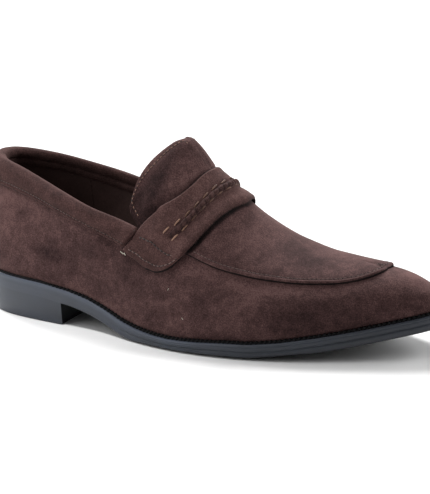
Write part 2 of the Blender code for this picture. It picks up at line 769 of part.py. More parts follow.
def make_welt(material, collection, root):
    """The strip between sole and upper, a closed band round the shoe."""
    along = stations(0, 1, SOLE_COLUMNS)
    out = edge_width(along) * WELT_SHARE_OF_EDGE
    back = out + WELT_WIDTH

    def ring(inset, lift):
        return plan_ring(along, inset, lambda x: sole_top(x) + GAP + lift)

    corners = [ring(out, 0), ring(out, WELT_THICKNESS), ring(back, WELT_THICKNESS), ring(back, 0)]
    corners.append(corners[0])
    outer = np.stack([c[0] for c in corners])
    inner = np.stack([c[1] for c in corners])
    mesh = sheet_mesh("welt", [(outer, False), (inner, True)], closed=True)
    new_object("welt", mesh, material, collection, root)


def make_insole(material, collection, root):
    """The sock that the foot stands on, inside the welt."""
    along = stations(0, 1, INSOLE_COLUMNS)
    inset = edge_width(along) * WELT_SHARE_OF_EDGE + WELT_WIDTH + GAP
    rings = [
        plan_ring(along, inset, lambda x, d=drop: sole_top(x) + GAP + d)
        for drop in (INSOLE_THICKNESS, 0.0)
    ]
    solid_from_rings("insole", rings, material, collection, root)


def make_heel(material, collection, root):
    """The heel block under the heel seat, a little narrower at the floor, with a hollowed breast."""
    share = stations(0, 1, HEEL_COLUMNS)
    rings = []
    for level in (1.0, 0.0):
        halves = []
        for side in (OUTER, INNER):
            along = share * np.interp(HEEL_LENGTH, OUTLINE[side][:, 0], OUTLINE_SHARES)
            drawn_in = np.full(along.shape, HEEL_INSET + HEEL_TAPER_SIDE * (1 - level))
            plan = inset_edge(side, along, drawn_in)
            behind = 1 - smooth(plan[:, 0] / HEEL_LENGTH)
            plan[:, 0] += HEEL_TAPER_BACK * (1 - level) * behind
            top = sole_underside(plan[:, 0]) - GAP
            halves.append(np.column_stack([plan, top * level]))
        halves[1][0] = halves[0][0] = (halves[0][0] + halves[1][0]) / 2
        rings.append(np.stack(halves))
    fan = np.linspace(0, 1, BREAST_COLUMNS)
    breast = []
    for ring in rings:
        start, end = ring[0][-1], ring[1][-1]
        line = start + (end - start) * fan[:, None]
        line[:, 0] -= HEEL_BREAST_HOLLOW * (1 - (2 * fan - 1) ** 2)
        breast.append(line)
    heel_solid(rings, breast, material, collection, root)


def heel_solid(rings, breast, material, collection, root):
    """Closes the heel: its round side, its breast, and its top and floor as flat fans."""
    loops = [np.vstack([ring[0], line[1:-1], ring[1][:0:-1]]) for ring, line in zip(rings, breast)]
    solid = bmesh.new()
    verts = [[solid.verts.new(p) for p in loop] for loop in loops]
    count = len(loops[0])
    for i in range(count):
        j = (i + 1) % count
        solid.faces.new([verts[0][i], verts[0][j], verts[1][j], verts[1][i]][::-1])
    solid.faces.new(verts[0])
    solid.faces.new(verts[1][::-1])
    bmesh.ops.triangulate(solid, faces=[f for f in solid.faces if len(f.verts) > 4])
    bmesh.ops.recalc_face_normals(solid, faces=solid.faces)
    mesh = bpy.data.meshes.new("heel")
    solid.to_mesh(mesh)
    solid.free()
    new_object("heel", mesh, material, collection, root)


def plain_material(name, colour, roughness):
    material = bpy.data.materials.new(name)
    material.use_nodes = True
    shader = material.node_tree.nodes["Principled BSDF"]
    shader.inputs["Base Color"].default_value = (*colour, 1.0)
    shader.inputs["Roughness"].default_value = roughness
    shader.inputs["Metallic"].default_value = 0.0
    return material


def clear_scene():
    for obj in list(bpy.data.objects):
        bpy.data.objects.remove(obj)


def main():
    clear_scene()
    collection = bpy.data.collections.new("saddle_loafer")
    bpy.context.scene.collection.children.link(collection)
    root = bpy.data.objects.new("shoe_root", None)
    heel_back = last_point(OUTER, 0.0, np.linspace(0, 1, UPPER_ROWS))[:, :2]
    edge = np.vstack([OUTLINE[OUTER], OUTLINE[INNER], heel_back])
    middle = (edge.min(axis=0) + edge.max(axis=0)) / 2
    root.location = (-middle[0], -middle[1], 0.0)
    collection.objects.link(root)
    suede = plain_material("suede", (0.080, 0.043, 0.040), 0.95)
    lining = plain_material("lining", (0.030, 0.017, 0.015), 0.70)
    rubber = plain_material("rubber", (0.055, 0.063, 0.075), 0.45)
    welting = plain_material("welting", (0.012, 0.012, 0.013), 0.60)
    make_outsole(rubber, collection, root)
    make_heel(rubber, collection, root)
    make_welt(welting, collection, root)
    make_insole(lining, collection, root)
    make_upper(suede, collection, root)
    make_apron(suede, collection, root)
    make_collar_band(suede, collection, root)
    make_tongue(suede, collection, root)
    make_strap(suede, collection, root)
    make_strap_ridge(suede, collection, root)


main()
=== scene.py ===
"""The look of the suede saddle loafer: every soft piece is cut from the same last as the solids."""

from collections import namedtuple

import bpy
import numpy as np
from mathutils import Matrix, Vector


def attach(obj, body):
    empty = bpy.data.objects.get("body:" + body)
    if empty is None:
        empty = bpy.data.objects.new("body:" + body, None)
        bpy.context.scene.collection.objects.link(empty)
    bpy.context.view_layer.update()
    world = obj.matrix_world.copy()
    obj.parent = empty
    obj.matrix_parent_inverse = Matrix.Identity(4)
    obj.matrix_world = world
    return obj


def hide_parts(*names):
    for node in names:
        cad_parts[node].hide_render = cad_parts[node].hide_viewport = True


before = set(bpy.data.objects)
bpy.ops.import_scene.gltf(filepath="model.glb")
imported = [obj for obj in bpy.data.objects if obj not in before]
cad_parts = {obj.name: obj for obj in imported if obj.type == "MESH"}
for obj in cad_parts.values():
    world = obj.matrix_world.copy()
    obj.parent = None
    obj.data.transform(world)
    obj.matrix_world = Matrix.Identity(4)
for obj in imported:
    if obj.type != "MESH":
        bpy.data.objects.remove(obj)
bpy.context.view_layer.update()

MM = 0.001
OUTER, INNER = -1, 1
SIDES = {OUTER: "outer", INNER: "inner"}


def named_rows(columns, *rows):
    """A short table whose columns have names."""
    row = namedtuple("row", columns)
    return [row(*values) for values in rows]


# The last, in the same sizes as the solids: metres, or shares of these three
LENGTH, BALL_WIDTH, TONGUE_HEIGHT = 0.292, 0.0985, 0.1085
HEEL_LENGTH, HEEL_HEIGHT, TOE_SPRING = 0.068, 0.0140, 0.0160
SOLE_THICKNESS, WELT_THICKNESS, WELT_WIDTH = 0.0084, 0.0014, 0.0045
UPPER_WALL, APRON_THICKNESS = 0.0018, 0.0013
TONGUE_THICKNESS, INSOLE_THICKNESS = 0.0018, 0.0034
GAP, OVERLAY_GAP, FACET_GAP = 0.0003, 0.0004, 0.0006
EDGE_AT_HEEL, EDGE_AT_BALL, WELT_SHARE_OF_EDGE = 0.0014, 0.0030, 0.45
EDGE_WIDENS_FROM, EDGE_WIDENS_OVER, EDGE_REACH = 0.20, 0.25, 0.012

OUTER_OUTLINE = named_rows(
    "x y",
    (0.000, 0.000), (0.032, -0.218), (0.103, -0.317), (0.190, -0.359), (0.233, -0.374),
    (0.325, -0.407), (0.411, -0.480), (0.514, -0.546), (0.610, -0.548), (0.702, -0.503),
    (0.795, -0.402), (0.884, -0.272), (0.950, -0.158), (0.984, -0.080),
)
INNER_OUTLINE = named_rows(
    "x y",
    (1.000, 0.035), (0.984, 0.148), (0.935, 0.238), (0.845, 0.346), (0.757, 0.428),
    (0.671, 0.462), (0.575, 0.434), (0.476, 0.365), (0.377, 0.317), (0.308, 0.308),
    (0.233, 0.323), (0.151, 0.325), (0.068, 0.276), (0.018, 0.160),
)
HEEL_SEAT = named_rows(
    "x height",
    (0.000, 1.16), (0.110, 1.09), (0.233, 1.00), (0.288, 0.84),
    (0.336, 0.58), (0.404, 0.20), (0.473, 0.03), (0.510, 0.00),
)
FOREFOOT = named_rows(
    "x height",
    (0.660, 0.00), (0.720, 0.09), (0.788, 0.27), (0.856, 0.49),
    (0.925, 0.75), (0.976, 0.95), (1.000, 1.05),
)
# How much lower the sole's waist is than the solid's, in millimetres, and how far up the last follows it
WAIST_DROP = named_rows(
    "x height",
    (0.000, 0.0), (0.165, 0.0), (0.234, 1.1), (0.300, 1.8), (0.420, 2.2), (0.510, 2.1),
    (0.560, 1.6), (0.600, 0.8), (0.660, 0.0), (1.000, 0.0),
)
WAIST_DROP_REACH = 0.40
SECTIONS = named_rows(
    "along top_x half_top top_z rise bulge spread drop",
    (0.000, 0.025, 0.000, 0.836, 30.0, 5.0, 5.0, 20.0),
    (0.038, 0.031, 0.068, 0.832, 29.0, 5.0, 5.0, 20.0),
    (0.076, 0.050, 0.122, 0.822, 28.0, 5.0, 4.5, 20.0),
    (0.143, 0.110, 0.188, 0.793, 25.0, 4.0, 4.5, 19.0),
    (0.220, 0.195, 0.260, 0.738, 22.0, 3.0, 4.5, 17.0),
    (0.280, 0.264, 0.310, 0.690, 20.0, 2.6, 5.0, 15.0),
    (0.340, 0.332, 0.332, 0.640, 19.0, 2.4, 6.0, 14.0),
    (0.375, 0.384, 0.284, 0.690, 20.0, 2.6, 10.0, 18.0),
    (0.405, 0.402, 0.183, 0.835, 22.0, 2.8, 16.0, 19.0),
    (0.435, 0.446, 0.075, 0.956, 24.0, 3.0, 18.0, 8.0),
    (0.450, 0.462, 0.030, 0.987, 25.0, 3.0, 19.0, 4.0),
    (0.460, 0.467, 0.000, 0.996, 26.0, 3.0, 20.0, 1.0),
    (0.515, 0.521, -0.160, 0.818, 26.0, 3.2, 20.0, 0.0),
    (0.600, 0.603, -0.160, 0.606, 25.0, 3.4, 24.0, 0.0),
    (0.683, 0.670, -0.160, 0.500, 23.0, 3.4, 26.0, 0.0),
    (0.770, 0.734, -0.160, 0.446, 20.0, 3.0, 25.0, 0.0),
    (0.860, 0.795, -0.160, 0.426, 18.0, 2.4, 23.0, 0.0),
    (0.933, 0.834, -0.160, 0.420, 15.3, 1.8, 22.0, 0.0),
    (1.000, 0.860, -0.160, 0.413, 13.8, 1.2, 20.4, 0.0),
)
SWING = named_rows(
    "x y", (0.00, 0.000), (0.12, 0.000), (0.31, -0.022), (0.46, 0.000), (0.86, 0.030), (1.00, 0.031)
)
RIDGE_STARTS, RIDGE_EASE, RIDGE_REACH = 0.460, 0.03, 0.01
LAST_RUN, LAST_GIRTH, SEAM_REACH = 0.328, 0.085, 0.008

TOPLINE = named_rows("x z", (0.260, 0.693), (0.332, 0.638), (0.375, 0.604), (0.408, 0.577), (0.440, 0.548))
BAND_SEAM = named_rows(
    "x z",
    (-0.020, 0.705), (0.030, 0.697), (0.093, 0.680), (0.150, 0.655),
    (0.216, 0.618), (0.275, 0.579), (0.336, 0.531), (0.390, 0.477),
)
THROAT = named_rows(
    "along up",
    (0.400, 0.560), (0.442, 0.495), (0.460, 0.500), (0.490, 0.570),
    (0.510, 0.700), (0.530, 0.900), (0.540, 1.000),
)
TOPLINE_ENDS, THROAT_BEGINS, THROAT_EASE = 0.340, 0.415, 0.025
APRON_EDGE = named_rows(
    "along up",
    (0.500, 0.430), (0.530, 0.440), (0.583, 0.454), (0.665, 0.495), (0.745, 0.520), (0.815, 0.536),
    (0.850, 0.570), (0.885, 0.632), (0.925, 0.738), (0.960, 0.835), (0.985, 0.892), (1.000, 0.908),
)
APRON_BACK = named_rows("along up", (0.505, 0.420), (0.525, 0.600), (0.540, 0.870), (0.550, 1.000))
BAND_SEAM_END, BAND_TOP_END = 0.3955, 0.4205
TONGUE_BACK, TONGUE_LEAN, TONGUE_FRONT, TONGUE_TUCK, TONGUE_LAP = 0.377, 0.095, 0.585, 0.120, 0.03
TONGUE_CORNER, TONGUE_CORNER_REACH, TONGUE_DIVE, TONGUE_CLEAR = 0.16, 0.28, 0.0100, 0.0030
STRAP_EDGES = named_rows(
    "share back_along back_up front_along front_up",
    (0.00, 0.398, 0.485, 0.525, 0.430), (0.20, 0.424, 0.522, 0.537, 0.500),
    (0.40, 0.455, 0.545, 0.546, 0.580), (0.60, 0.482, 0.620, 0.556, 0.690),
    (0.80, 0.502, 0.790, 0.567, 0.840), (1.00, 0.509, 1.000, 0.575, 1.000),
)
# The strap's back edge runs a little further forward half-way up than the solid's
STRAP_WAIST, STRAP_WAIST_AT, STRAP_WAIST_REACH = 0.0035, 0.45, 0.28
STRAP_ROUND_END, STRAP_END_SHARE, STRAP_END_REACH = 0.165, 0.85, 0.40
STRAP_CLIMB, APRON_CLIMB, APRON_CLIMBED = 0.45, 0.10, 0.9


# Curves

def smooth(t):
    """From 0 to 1, with a soft start and a soft end."""
    t = np.clip(t, 0.0, 1.0)
    return t * t * (3 - 2 * t)


def ease(value, start, over):
    """From 0 at the start to 1 as far beyond it as over says."""
    return smooth((value - start) / over)


def fade(value, end, over):
    """From 1, as far before the end as over says, to 0 at the end."""
    return smooth((end - value) / over)


def bell(value, middle, reach):
    """A soft hill of height 1 round a middle."""
    return np.exp(-(((value - middle) / reach) ** 2))


def rounded(t):
    """From 0 to 1 along a quarter of a circle."""
    return np.sqrt(np.clip(1 - (1 - np.clip(t, 0, 1)) ** 2, 0, 1))


def unit(vectors):
    return vectors / np.linalg.norm(vectors, axis=-1, keepdims=True)


def walk(points):
    """How far along a line each of its points lies."""
    return np.concatenate([[0], np.cumsum(np.linalg.norm(np.diff(points, axis=0), axis=1))])


def on_line(at, keys, points):
    """Places on a line whose points have keys."""
    return np.stack([np.interp(at, keys, points[:, axis]) for axis in range(points.shape[1])], axis=-1)


def hermite(t, start, end, leaving, arriving, span):
    """A cubic from start to end with a slope at each, for t from 0 to 1 over a span."""
    return (
        start * (1 + 2 * t) * (1 - t) ** 2
        + end * t**2 * (3 - 2 * t)
        + span * leaving * t * (1 - t) ** 2
        - span * arriving * t**2 * (1 - t)
    )


def rising(keys, values, at):
    """A smooth curve through the rows that never swings past them (monotone cubic)."""
    keys, values, at = (np.asarray(a, float) for a in (keys, values, at))
    step = np.diff(keys)
    slope = np.diff(values) / step
    before, after = slope[:-1], slope[1:]
    same_way = before * after > 0
    weight_a, weight_b = 2 * step[1:] + step[:-1], step[1:] + 2 * step[:-1]
    safe_a, safe_b = np.where(same_way, before, 1.0), np.where(same_way, after, 1.0)
    inner = (weight_a + weight_b) / (weight_a / safe_a + weight_b / safe_b)
    tangent = np.concatenate([slope[:1], np.where(same_way, inner, 0.0), slope[-1:]])
    cell = np.clip(np.searchsorted(keys, at, side="right") - 1, 0, len(step) - 1)
    t = np.clip((at - keys[cell]) / step[cell], 0.0, 1.0)
    return hermite(t, values[cell], values[cell + 1], tangent[cell], tangent[cell + 1], step[cell])


def table(rows, at):
    """A smooth curve through (key, value) rows."""
    return rising([r[0] for r in rows], [r[1] for r in rows], at)


def closed_spline(points, count):
    """Count points, evenly spaced in the spline's own parameter, on a closed smooth curve."""
    points = np.asarray(points, float)
    size = len(points)
    chord = np.linalg.norm(np.roll(points, -1, axis=0) - points, axis=1)
    before = np.roll(chord, 1)
    system = np.zeros((size, size))
    right = np.zeros_like(points)
    for i in range(size):
        system[i, i - 1] = chord[i]
        system[i, i] = 2 * (chord[i] + before[i])
        system[i, (i + 1) % size] = before[i]
        ahead = (points[(i + 1) % size] - points[i]) / chord[i]
        behind = (points[i] - points[i - 1]) / before[i]
        right[i] = 3 * (chord[i] * behind + before[i] * ahead)
    tangent = np.linalg.solve(system, right)
    place = np.linspace(0, chord.sum(), count, endpoint=False)
    starts = np.concatenate([[0], np.cumsum(chord)])
    cell = np.clip(np.searchsorted(starts, place, side="right") - 1, 0, size - 1)
    t = ((place - starts[cell]) / chord[cell])[:, None]
    ahead = (cell + 1) % size
    return hermite(t, points[cell], points[ahead], tangent[cell], tangent[ahead], chord[cell][:, None])


# The sole's edge and the last

def sole_outline(steps):
    """The two sides of the sole's edge, each from the heel's back to the toe's tip, evenly spaced."""
    rows = [(p.x * LENGTH, p.y * BALL_WIDTH) for p in OUTER_OUTLINE + INNER_OUTLINE]
    ring = closed_spline(rows, 4 * steps)
    toe = int(np.argmin(np.linalg.norm(ring - np.array(rows[len(OUTER_OUTLINE)]), axis=1)))
    halves = {OUTER: ring[: toe + 1], INNER: np.vstack([ring[toe:], ring[:1]])[::-1]}
    for side, half in halves.items():
        walked = walk(half)
        halves[side] = on_line(np.linspace(0, walked[-1], steps + 1), walked, half)
    return halves


OUTLINE_STEPS = 600
OUTLINE = sole_outline(OUTLINE_STEPS)
OUTLINE_SHARES = np.linspace(0, 1, OUTLINE_STEPS + 1)
# How far along each side the heel's breast lies
BREAST = {side: np.interp(HEEL_LENGTH, OUTLINE[side][:, 0], OUTLINE_SHARES) for side in SIDES}


def edge_point(side, along):
    return on_line(along, OUTLINE_SHARES, OUTLINE[side])


def edge_normal(side, along):
    """The direction straight out of the sole's edge, in plan."""
    ahead = edge_point(side, np.clip(along + EDGE_REACH, 0, 1))
    run = ahead - edge_point(side, np.clip(along - EDGE_REACH, 0, 1))
    out = unit(np.stack([run[..., 1], -run[..., 0]], axis=-1) * -side)
    ends = np.clip(np.minimum(along, 1 - along) / EDGE_REACH, 0, 1)[..., None]
    straight = np.stack([np.where(along < 0.5, -1.0, 1.0), np.zeros_like(along)], axis=-1)
    return unit(out * ends + straight * (1 - ends))


def inset_edge(side, along, inset):
    return edge_point(side, along) - edge_normal(side, along) * np.asarray(inset)[..., None]


def edge_width(along):
    wider = ease(along, EDGE_WIDENS_FROM, EDGE_WIDENS_OVER)
    return EDGE_AT_HEEL + (EDGE_AT_BALL - EDGE_AT_HEEL) * wider


def over_length(x, *parts):
    """A curve along the shoe through the rows of (table, unit) parts."""
    rows = [(row[0] * LENGTH, row[1] * size) for part, size in parts for row in part]
    return table(rows, np.clip(x, 0, LENGTH))


def sole_underside(x):
    return over_length(x, (HEEL_SEAT, HEEL_HEIGHT), (FOREFOOT, TOE_SPRING))


def waist_drop(x):
    return over_length(x, (WAIST_DROP, MM))


def sole_top(x):
    return sole_underside(x) + SOLE_THICKNESS - waist_drop(x)


def sole_foot(x):
    """The underside that is shown: it sinks with the waist, but not below the floor."""
    return np.maximum(sole_underside(x) - waist_drop(x), 0.0)


def ridge_shift(x):
    return over_length(x, (SWING, BALL_WIDTH))


def section_column(name, along, odd=False):
    """A column of the section table, carried on past the heel's back and the toe as a mirror image."""
    keys = [s.along for s in SECTIONS]
    values = [getattr(s, name) for s in SECTIONS]
    mirror = -1 if odd else 1
    behind = [mirror * v for v in values[2:0:-1]]
    ahead = values[-2:-4:-1]
    keys = [-k for k in keys[2:0:-1]] + keys + [2 - k for k in keys[-2:-4:-1]]
    return rising(keys, behind + values + ahead, along)


def top_point(side, along):
    """The top of the last: the topline, then the tongue's edge, then the ridge of the vamp."""
    x = section_column("top_x", along) * LENGTH
    y = side * np.maximum(section_column("half_top", along, odd=True), 0.0) * BALL_WIDTH
    z = section_column("top_z", along) * TONGUE_HEIGHT
    return np.stack([x, y + ridge_shift(x), z], axis=-1)


def crown_direction(foot, top, along):
    """From the top towards the sole's edge, along the ridge's own slope where there is a ridge."""
    place = np.minimum(along, 1 - 3 * RIDGE_REACH)
    ahead, behind = place + RIDGE_REACH, place - RIDGE_REACH
    slope = (section_column("top_z", ahead) - section_column("top_z", behind)) * TONGUE_HEIGHT
    run = (section_column("top_x", ahead) - section_column("top_x", behind)) * LENGTH
    fall = ease(along, RIDGE_STARTS, RIDGE_EASE) * slope / np.maximum(run, MM)
    away = (foot - top)[..., :2]
    away = away / np.maximum(np.linalg.norm(away, axis=-1, keepdims=True), MM)
    return np.concatenate([away, (away[..., 0] * fall)[..., None]], axis=-1)


def paired(along, up):
    return np.broadcast_arrays(np.asarray(along, float), np.asarray(up, float))


def last_point(side, along, up):
    """A point on the last: a cubic arc from the sole's edge to the top, for each along."""
    along, up = paired(along, up)
    plan = inset_edge(side, along, edge_width(along))
    sunk = waist_drop(plan[..., 0])
    floor = sole_top(plan[..., 0]) + sunk + 2 * GAP + WELT_THICKNESS
    foot = np.concatenate([plan, floor[..., None]], axis=-1)
    top = top_point(side, along)
    zero = np.zeros_like(along)
    lift = np.stack([zero, zero, zero + 1], axis=-1)
    out = np.concatenate([edge_normal(side, along), zero[..., None]], axis=-1)
    rise, bulge, spread, drop = (
        section_column(name, along)[..., None] * MM for name in ("rise", "bulge", "spread", "drop")
    )
    first = foot + lift * rise + out * bulge
    second = top + crown_direction(foot, top, along) * spread - lift * drop
    t = up[..., None]
    place = foot * (1 - t) ** 3 + 3 * first * t * (1 - t) ** 2 + 3 * second * t**2 * (1 - t) + top * t**3
    place[..., 2] -= sunk * (1 - smooth(up / WAIST_DROP_REACH))
    return place


def side_normal(side, along, up):
    along = np.clip(along, SEAM_REACH, 1 - SEAM_REACH)
    up = np.clip(up, SEAM_REACH, 1 - SEAM_REACH)
    run = last_point(side, along + SEAM_REACH, up) - last_point(side, along - SEAM_REACH, up)
    climb = last_point(side, along, up + SEAM_REACH) - last_point(side, along, up - SEAM_REACH)
    return unit(np.cross(run, climb) * -side)


def last_normal(side, along, up):
    """The direction straight out of the last, shared by both sides where they meet."""
    along, up = paired(along, up)
    ridge = np.where(along >= RIDGE_STARTS, 1 - (1 - up) / SEAM_REACH, 0.0)
    shared = np.maximum(ridge, 1 - np.minimum(along, 1 - along) / SEAM_REACH)
    shared = (np.clip(shared, 0, 1) / 2)[..., None]
    return unit(side_normal(side, along, up) * (1 - shared) + side_normal(-side, along, up) * shared)


def skin(side, along, up, offset):
    """A point that lies offset outside the last, or inside it where offset is negative."""
    along, up = paired(along, up)
    return last_point(side, along, up) + last_normal(side, along, up) * np.asarray(offset)[..., None]


def up_at_height(side, along, marks):
    """How far up the last a line runs that is drawn by its height over the floor."""
    keys = [m.x * LENGTH for m in marks]
    heights = [m.z * TONGUE_HEIGHT for m in marks]
    low, high = np.zeros_like(along), np.ones_like(along)
    for _ in range(24):
        middle = (low + high) / 2
        place = last_point(side, along, middle)
        over = place[..., 2] > rising(keys, heights, place[..., 0])
        low, high = np.where(over, low, middle), np.where(over, middle, high)
    return high


def throat_up(side, along):
    """The upper's top edge: the topline, then the throat that the strap hides."""
    along = np.asarray(along, float)
    collar = np.where(along > TOPLINE_ENDS, up_at_height(side, along, TOPLINE), 1.0)
    hidden = np.clip(table(THROAT, along), 0, 1)
    return collar + (hidden - collar) * ease(along, THROAT_BEGINS, THROAT_EASE)


def above_throat(side, along, up):
    """About how far a place lies outside the upper's throat, in metres."""
    reach = 0.005
    steep = (throat_up(side, along + reach) - throat_up(side, along - reach)) / (2 * reach)
    across = np.sqrt(1 + (steep * LAST_GIRTH / LAST_RUN) ** 2)
    return (up - throat_up(side, along)) * LAST_GIRTH / across


def apron_up(along):
    return table(APRON_EDGE, along)


def apron_back(up):
    """How far along the apron's back edge lies."""
    return rising([m.up for m in APRON_BACK], [m.along for m in APRON_BACK], up)


def strap_column(name, share, past_ridge=False):
    """A column of the strap's table, carried on past the ridge as a mirror image where asked."""
    past = STRAP_EDGES[-2]
    keys, values = [p.share for p in STRAP_EDGES], [getattr(p, name) for p in STRAP_EDGES]
    if past_ridge:
        keys, values = keys + [2 - past.share], values + [getattr(past, name)]
    return rising(keys, values, share)


def strap_place(across, share):
    """A place on the strap: across runs from its back edge to its front, share from end to ridge."""
    back_along = strap_column("back_along", share, past_ridge=True)
    back_along = back_along + STRAP_WAIST * bell(share, STRAP_WAIST_AT, STRAP_WAIST_REACH)
    front_along = strap_column("front_along", share, past_ridge=True)
    back_up, front_up = strap_column("back_up", share), strap_column("front_up", share)
    dip = STRAP_ROUND_END * 4 * across * (1 - across) * (1 - share) ** 2
    return back_along + (front_along - back_along) * across, back_up + (front_up - back_up) * across - dip


def strap_lift(across, share):
    """The strap lies flat along its back edge and clears the apron where it crosses it."""
    along, up = strap_place(across, share)
    over_apron = smooth((up - apron_up(along)) / APRON_CLIMB + APRON_CLIMBED) * smooth(across / STRAP_CLIMB)
    return FACET_GAP + (FACET_GAP + APRON_THICKNESS) * over_apron


def stations(count):
    """Shares from 0 to 1, a little closer together towards both ends."""
    even = np.linspace(0, 1, count)
    return 0.55 * even + 0.45 * (0.5 - 0.5 * np.cos(np.pi * even))


def shoe_shift():
    """What moves the last's own coordinates to the frame's: the middle of the shoe's box."""
    heel_back = last_point(OUTER, 0.0, np.linspace(0, 1, 11))[:, :2]
    edge = np.vstack([OUTLINE[OUTER], OUTLINE[INNER], heel_back])
    middle = (edge.min(axis=0) + edge.max(axis=0)) / 2
    return np.array([-middle[0], -middle[1], 0.0])


SHIFT = shoe_shift()


# Meshes

def show(obj):
    bpy.context.scene.collection.objects.link(obj)


def add_piece(name, points, faces, materials, nodes=(), indices=None, tone=None, sharp=0):
    """A piece of the visual model, riding on the shoe's one body."""
    mesh = bpy.data.meshes.new(name)
    mesh.from_pydata((np.asarray(points) + SHIFT).tolist(), [], [list(map(int, f)) for f in faces])
    for material in materials:
        mesh.materials.append(material)
    if indices is not None:
        mesh.polygons.foreach_set("material_index", np.asarray(indices, np.int32))
    if tone is not None:
        layer = mesh.attributes.new("tone", "FLOAT", "POINT")
        layer.data.foreach_set("value", np.asarray(tone, np.float32))
    mesh.validate()
    mesh.shade_smooth()
    if sharp:
        mesh.set_sharp_from_angle(angle=np.radians(sharp))
    obj = bpy.data.objects.new(name, mesh)
    show(obj)
    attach(obj, "root")
    if nodes:
        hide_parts(*nodes)
    return obj


def outward(points, faces):
    """The faces, turned round if the closed surface is inside out."""
    points = np.asarray(points)
    corners = [(f[0], f[i], f[i + 1]) for f in faces for i in range(1, len(f) - 1)]
    a, b, c = (points[index] for index in np.array(corners).T)
    inside_out = np.einsum("ij,ij->", a, np.cross(b, c)) < 0
    return [f[::-1] for f in faces] if inside_out else faces


def grid_quads(ids):
    return np.stack([ids[:-1, :-1], ids[:-1, 1:], ids[1:, 1:], ids[1:, :-1]], axis=-1)


def grid_faces(ids, flip):
    """The faces of a grid of point numbers, without those that welding has closed up."""
    quads = grid_quads(ids).reshape(-1, 4)
    quads = quads[:, ::-1] if flip else quads
    faces = []
    for quad in quads.tolist():
        face = [v for i, v in enumerate(quad) if v != quad[i - 1]]
        if len(set(face)) > 2 and len(set(face)) == len(face):
            faces.append(face)
    return faces


WELD = 2e-6


def welded(points, shape):
    """Two grids that mirror each other, joined where they meet: the kept points and the faces."""
    keys = np.round(points / WELD).astype(np.int64)
    _, first, index = np.unique(keys, axis=0, return_index=True, return_inverse=True)
    outer, inner = index.reshape(2, *shape)
    return first, grid_faces(outer, flip=False) + grid_faces(inner, flip=True)


def shell(name, pair, materials, nodes):
    """A closed suede shell: pair gives the outer skin, the inner skin and the tone of one side."""
    grids = [pair(side) for side in SIDES]
    over, under = (np.concatenate([g[k].reshape(-1, 3) for g in grids]) for k in (0, 1))
    shape = grids[0][0].shape[:2]
    tone = np.concatenate([np.broadcast_to(g[2], shape).ravel() for g in grids])
    first, faces = welded(over, shape)
    count = len(first)
    used = dict.fromkeys((f[i - 1], v) for f in faces for i, v in enumerate(f))
    rim = [[b, a, a + count, b + count] for a, b in used if (b, a) not in used]
    below = [[v + count for v in f[::-1]] for f in faces]
    points = np.vstack([over[first], under[first]])
    indices = [0] * len(faces) + [1] * len(below) + [2 if len(materials) > 2 else 0] * len(rim)
    tones = np.concatenate([tone[first], tone[first]])
    add_piece(name, points, outward(points, faces + below + rim), materials, nodes, indices, tones)


def sweep(name, rings, materials, nodes, indices=0, tone=None, capped=True, sharp=0):
    """A closed tube through rings of points, (stations, ring, 3)."""
    ids = np.arange(rings.shape[0] * rings.shape[1]).reshape(rings.shape[:2])
    loop = np.concatenate([ids, ids[:, :1]], axis=1)
    if not capped:
        loop = np.concatenate([loop, loop[:1]], axis=0)
    quads = grid_quads(loop)
    faces = quads.reshape(-1, 4).tolist()
    slots = list(np.broadcast_to(indices, quads.shape[:2]).ravel())
    if capped:
        faces += [ids[0, ::-1].tolist(), ids[-1].tolist()]
        slots += [0, 0]
    points = rings.reshape(-1, 3)
    tones = None if tone is None else np.broadcast_to(tone, rings.shape[:2]).ravel()
    return add_piece(name, points, outward(points, faces), materials, nodes, slots, tones, sharp)


# Stitches

Stitch = namedtuple("Stitch", "pitch length radius")
COLLAR_STITCH, APRON_STITCH = Stitch(0.0025, 0.0016, 0.00026), Stitch(0.0024, 0.0016, 0.00025)
TONGUE_STITCH, STRAP_STITCH = Stitch(0.0026, 0.0016, 0.00031), Stitch(0.0028, 0.0016, 0.00031)
CROSS_STITCH, CROSS_DOT = Stitch(0.0028, 0.0021, 0.00036), Stitch(0.0028, 0.0010, 0.00028)
HAND_STITCH = Stitch(0.0077, 0.0051, 0.00048)
THREAD_END, LINT = Stitch(0.0011, 0.0016, 0.00024), Stitch(None, 0.0016, 0.00013)
LINING_STITCH = Stitch(0.0030, 0.0036, 0.00028)
# A thread from end to end: place and thickness, as shares. Its middle lies RISE radii over the surface,
# its ends DIVE radii lower, and it is a little flattened. The holes between stitches lie lower.
THREAD_SHAPE = ((-1.0, 0.30), (-0.82, 0.75), (-0.45, 0.97), (0.0, 1.0),
                (0.45, 0.97), (0.82, 0.75), (1.0, 0.30))
THREAD_RISE, THREAD_DIVE, THREAD_FLATTENED = 0.6, 1.1, 0.8
HOLE_RISE, HOLE_RADIUS = 0.42, 0.95


def spaced(points, normals, pitch, first=0.5):
    """Places along a line, a pitch apart: position, direction and the surface's normal."""
    length = walk(points)
    at = np.arange(first * pitch, length[-1], pitch)
    ahead, behind = (on_line(at + share * pitch, length, points) for share in (0.3, -0.3))
    run = unit(ahead - behind)
    up = on_line(at, length, normals)
    up = up - run * np.sum(up * run, axis=-1, keepdims=True)
    return on_line(at, length, points), run, unit(up)


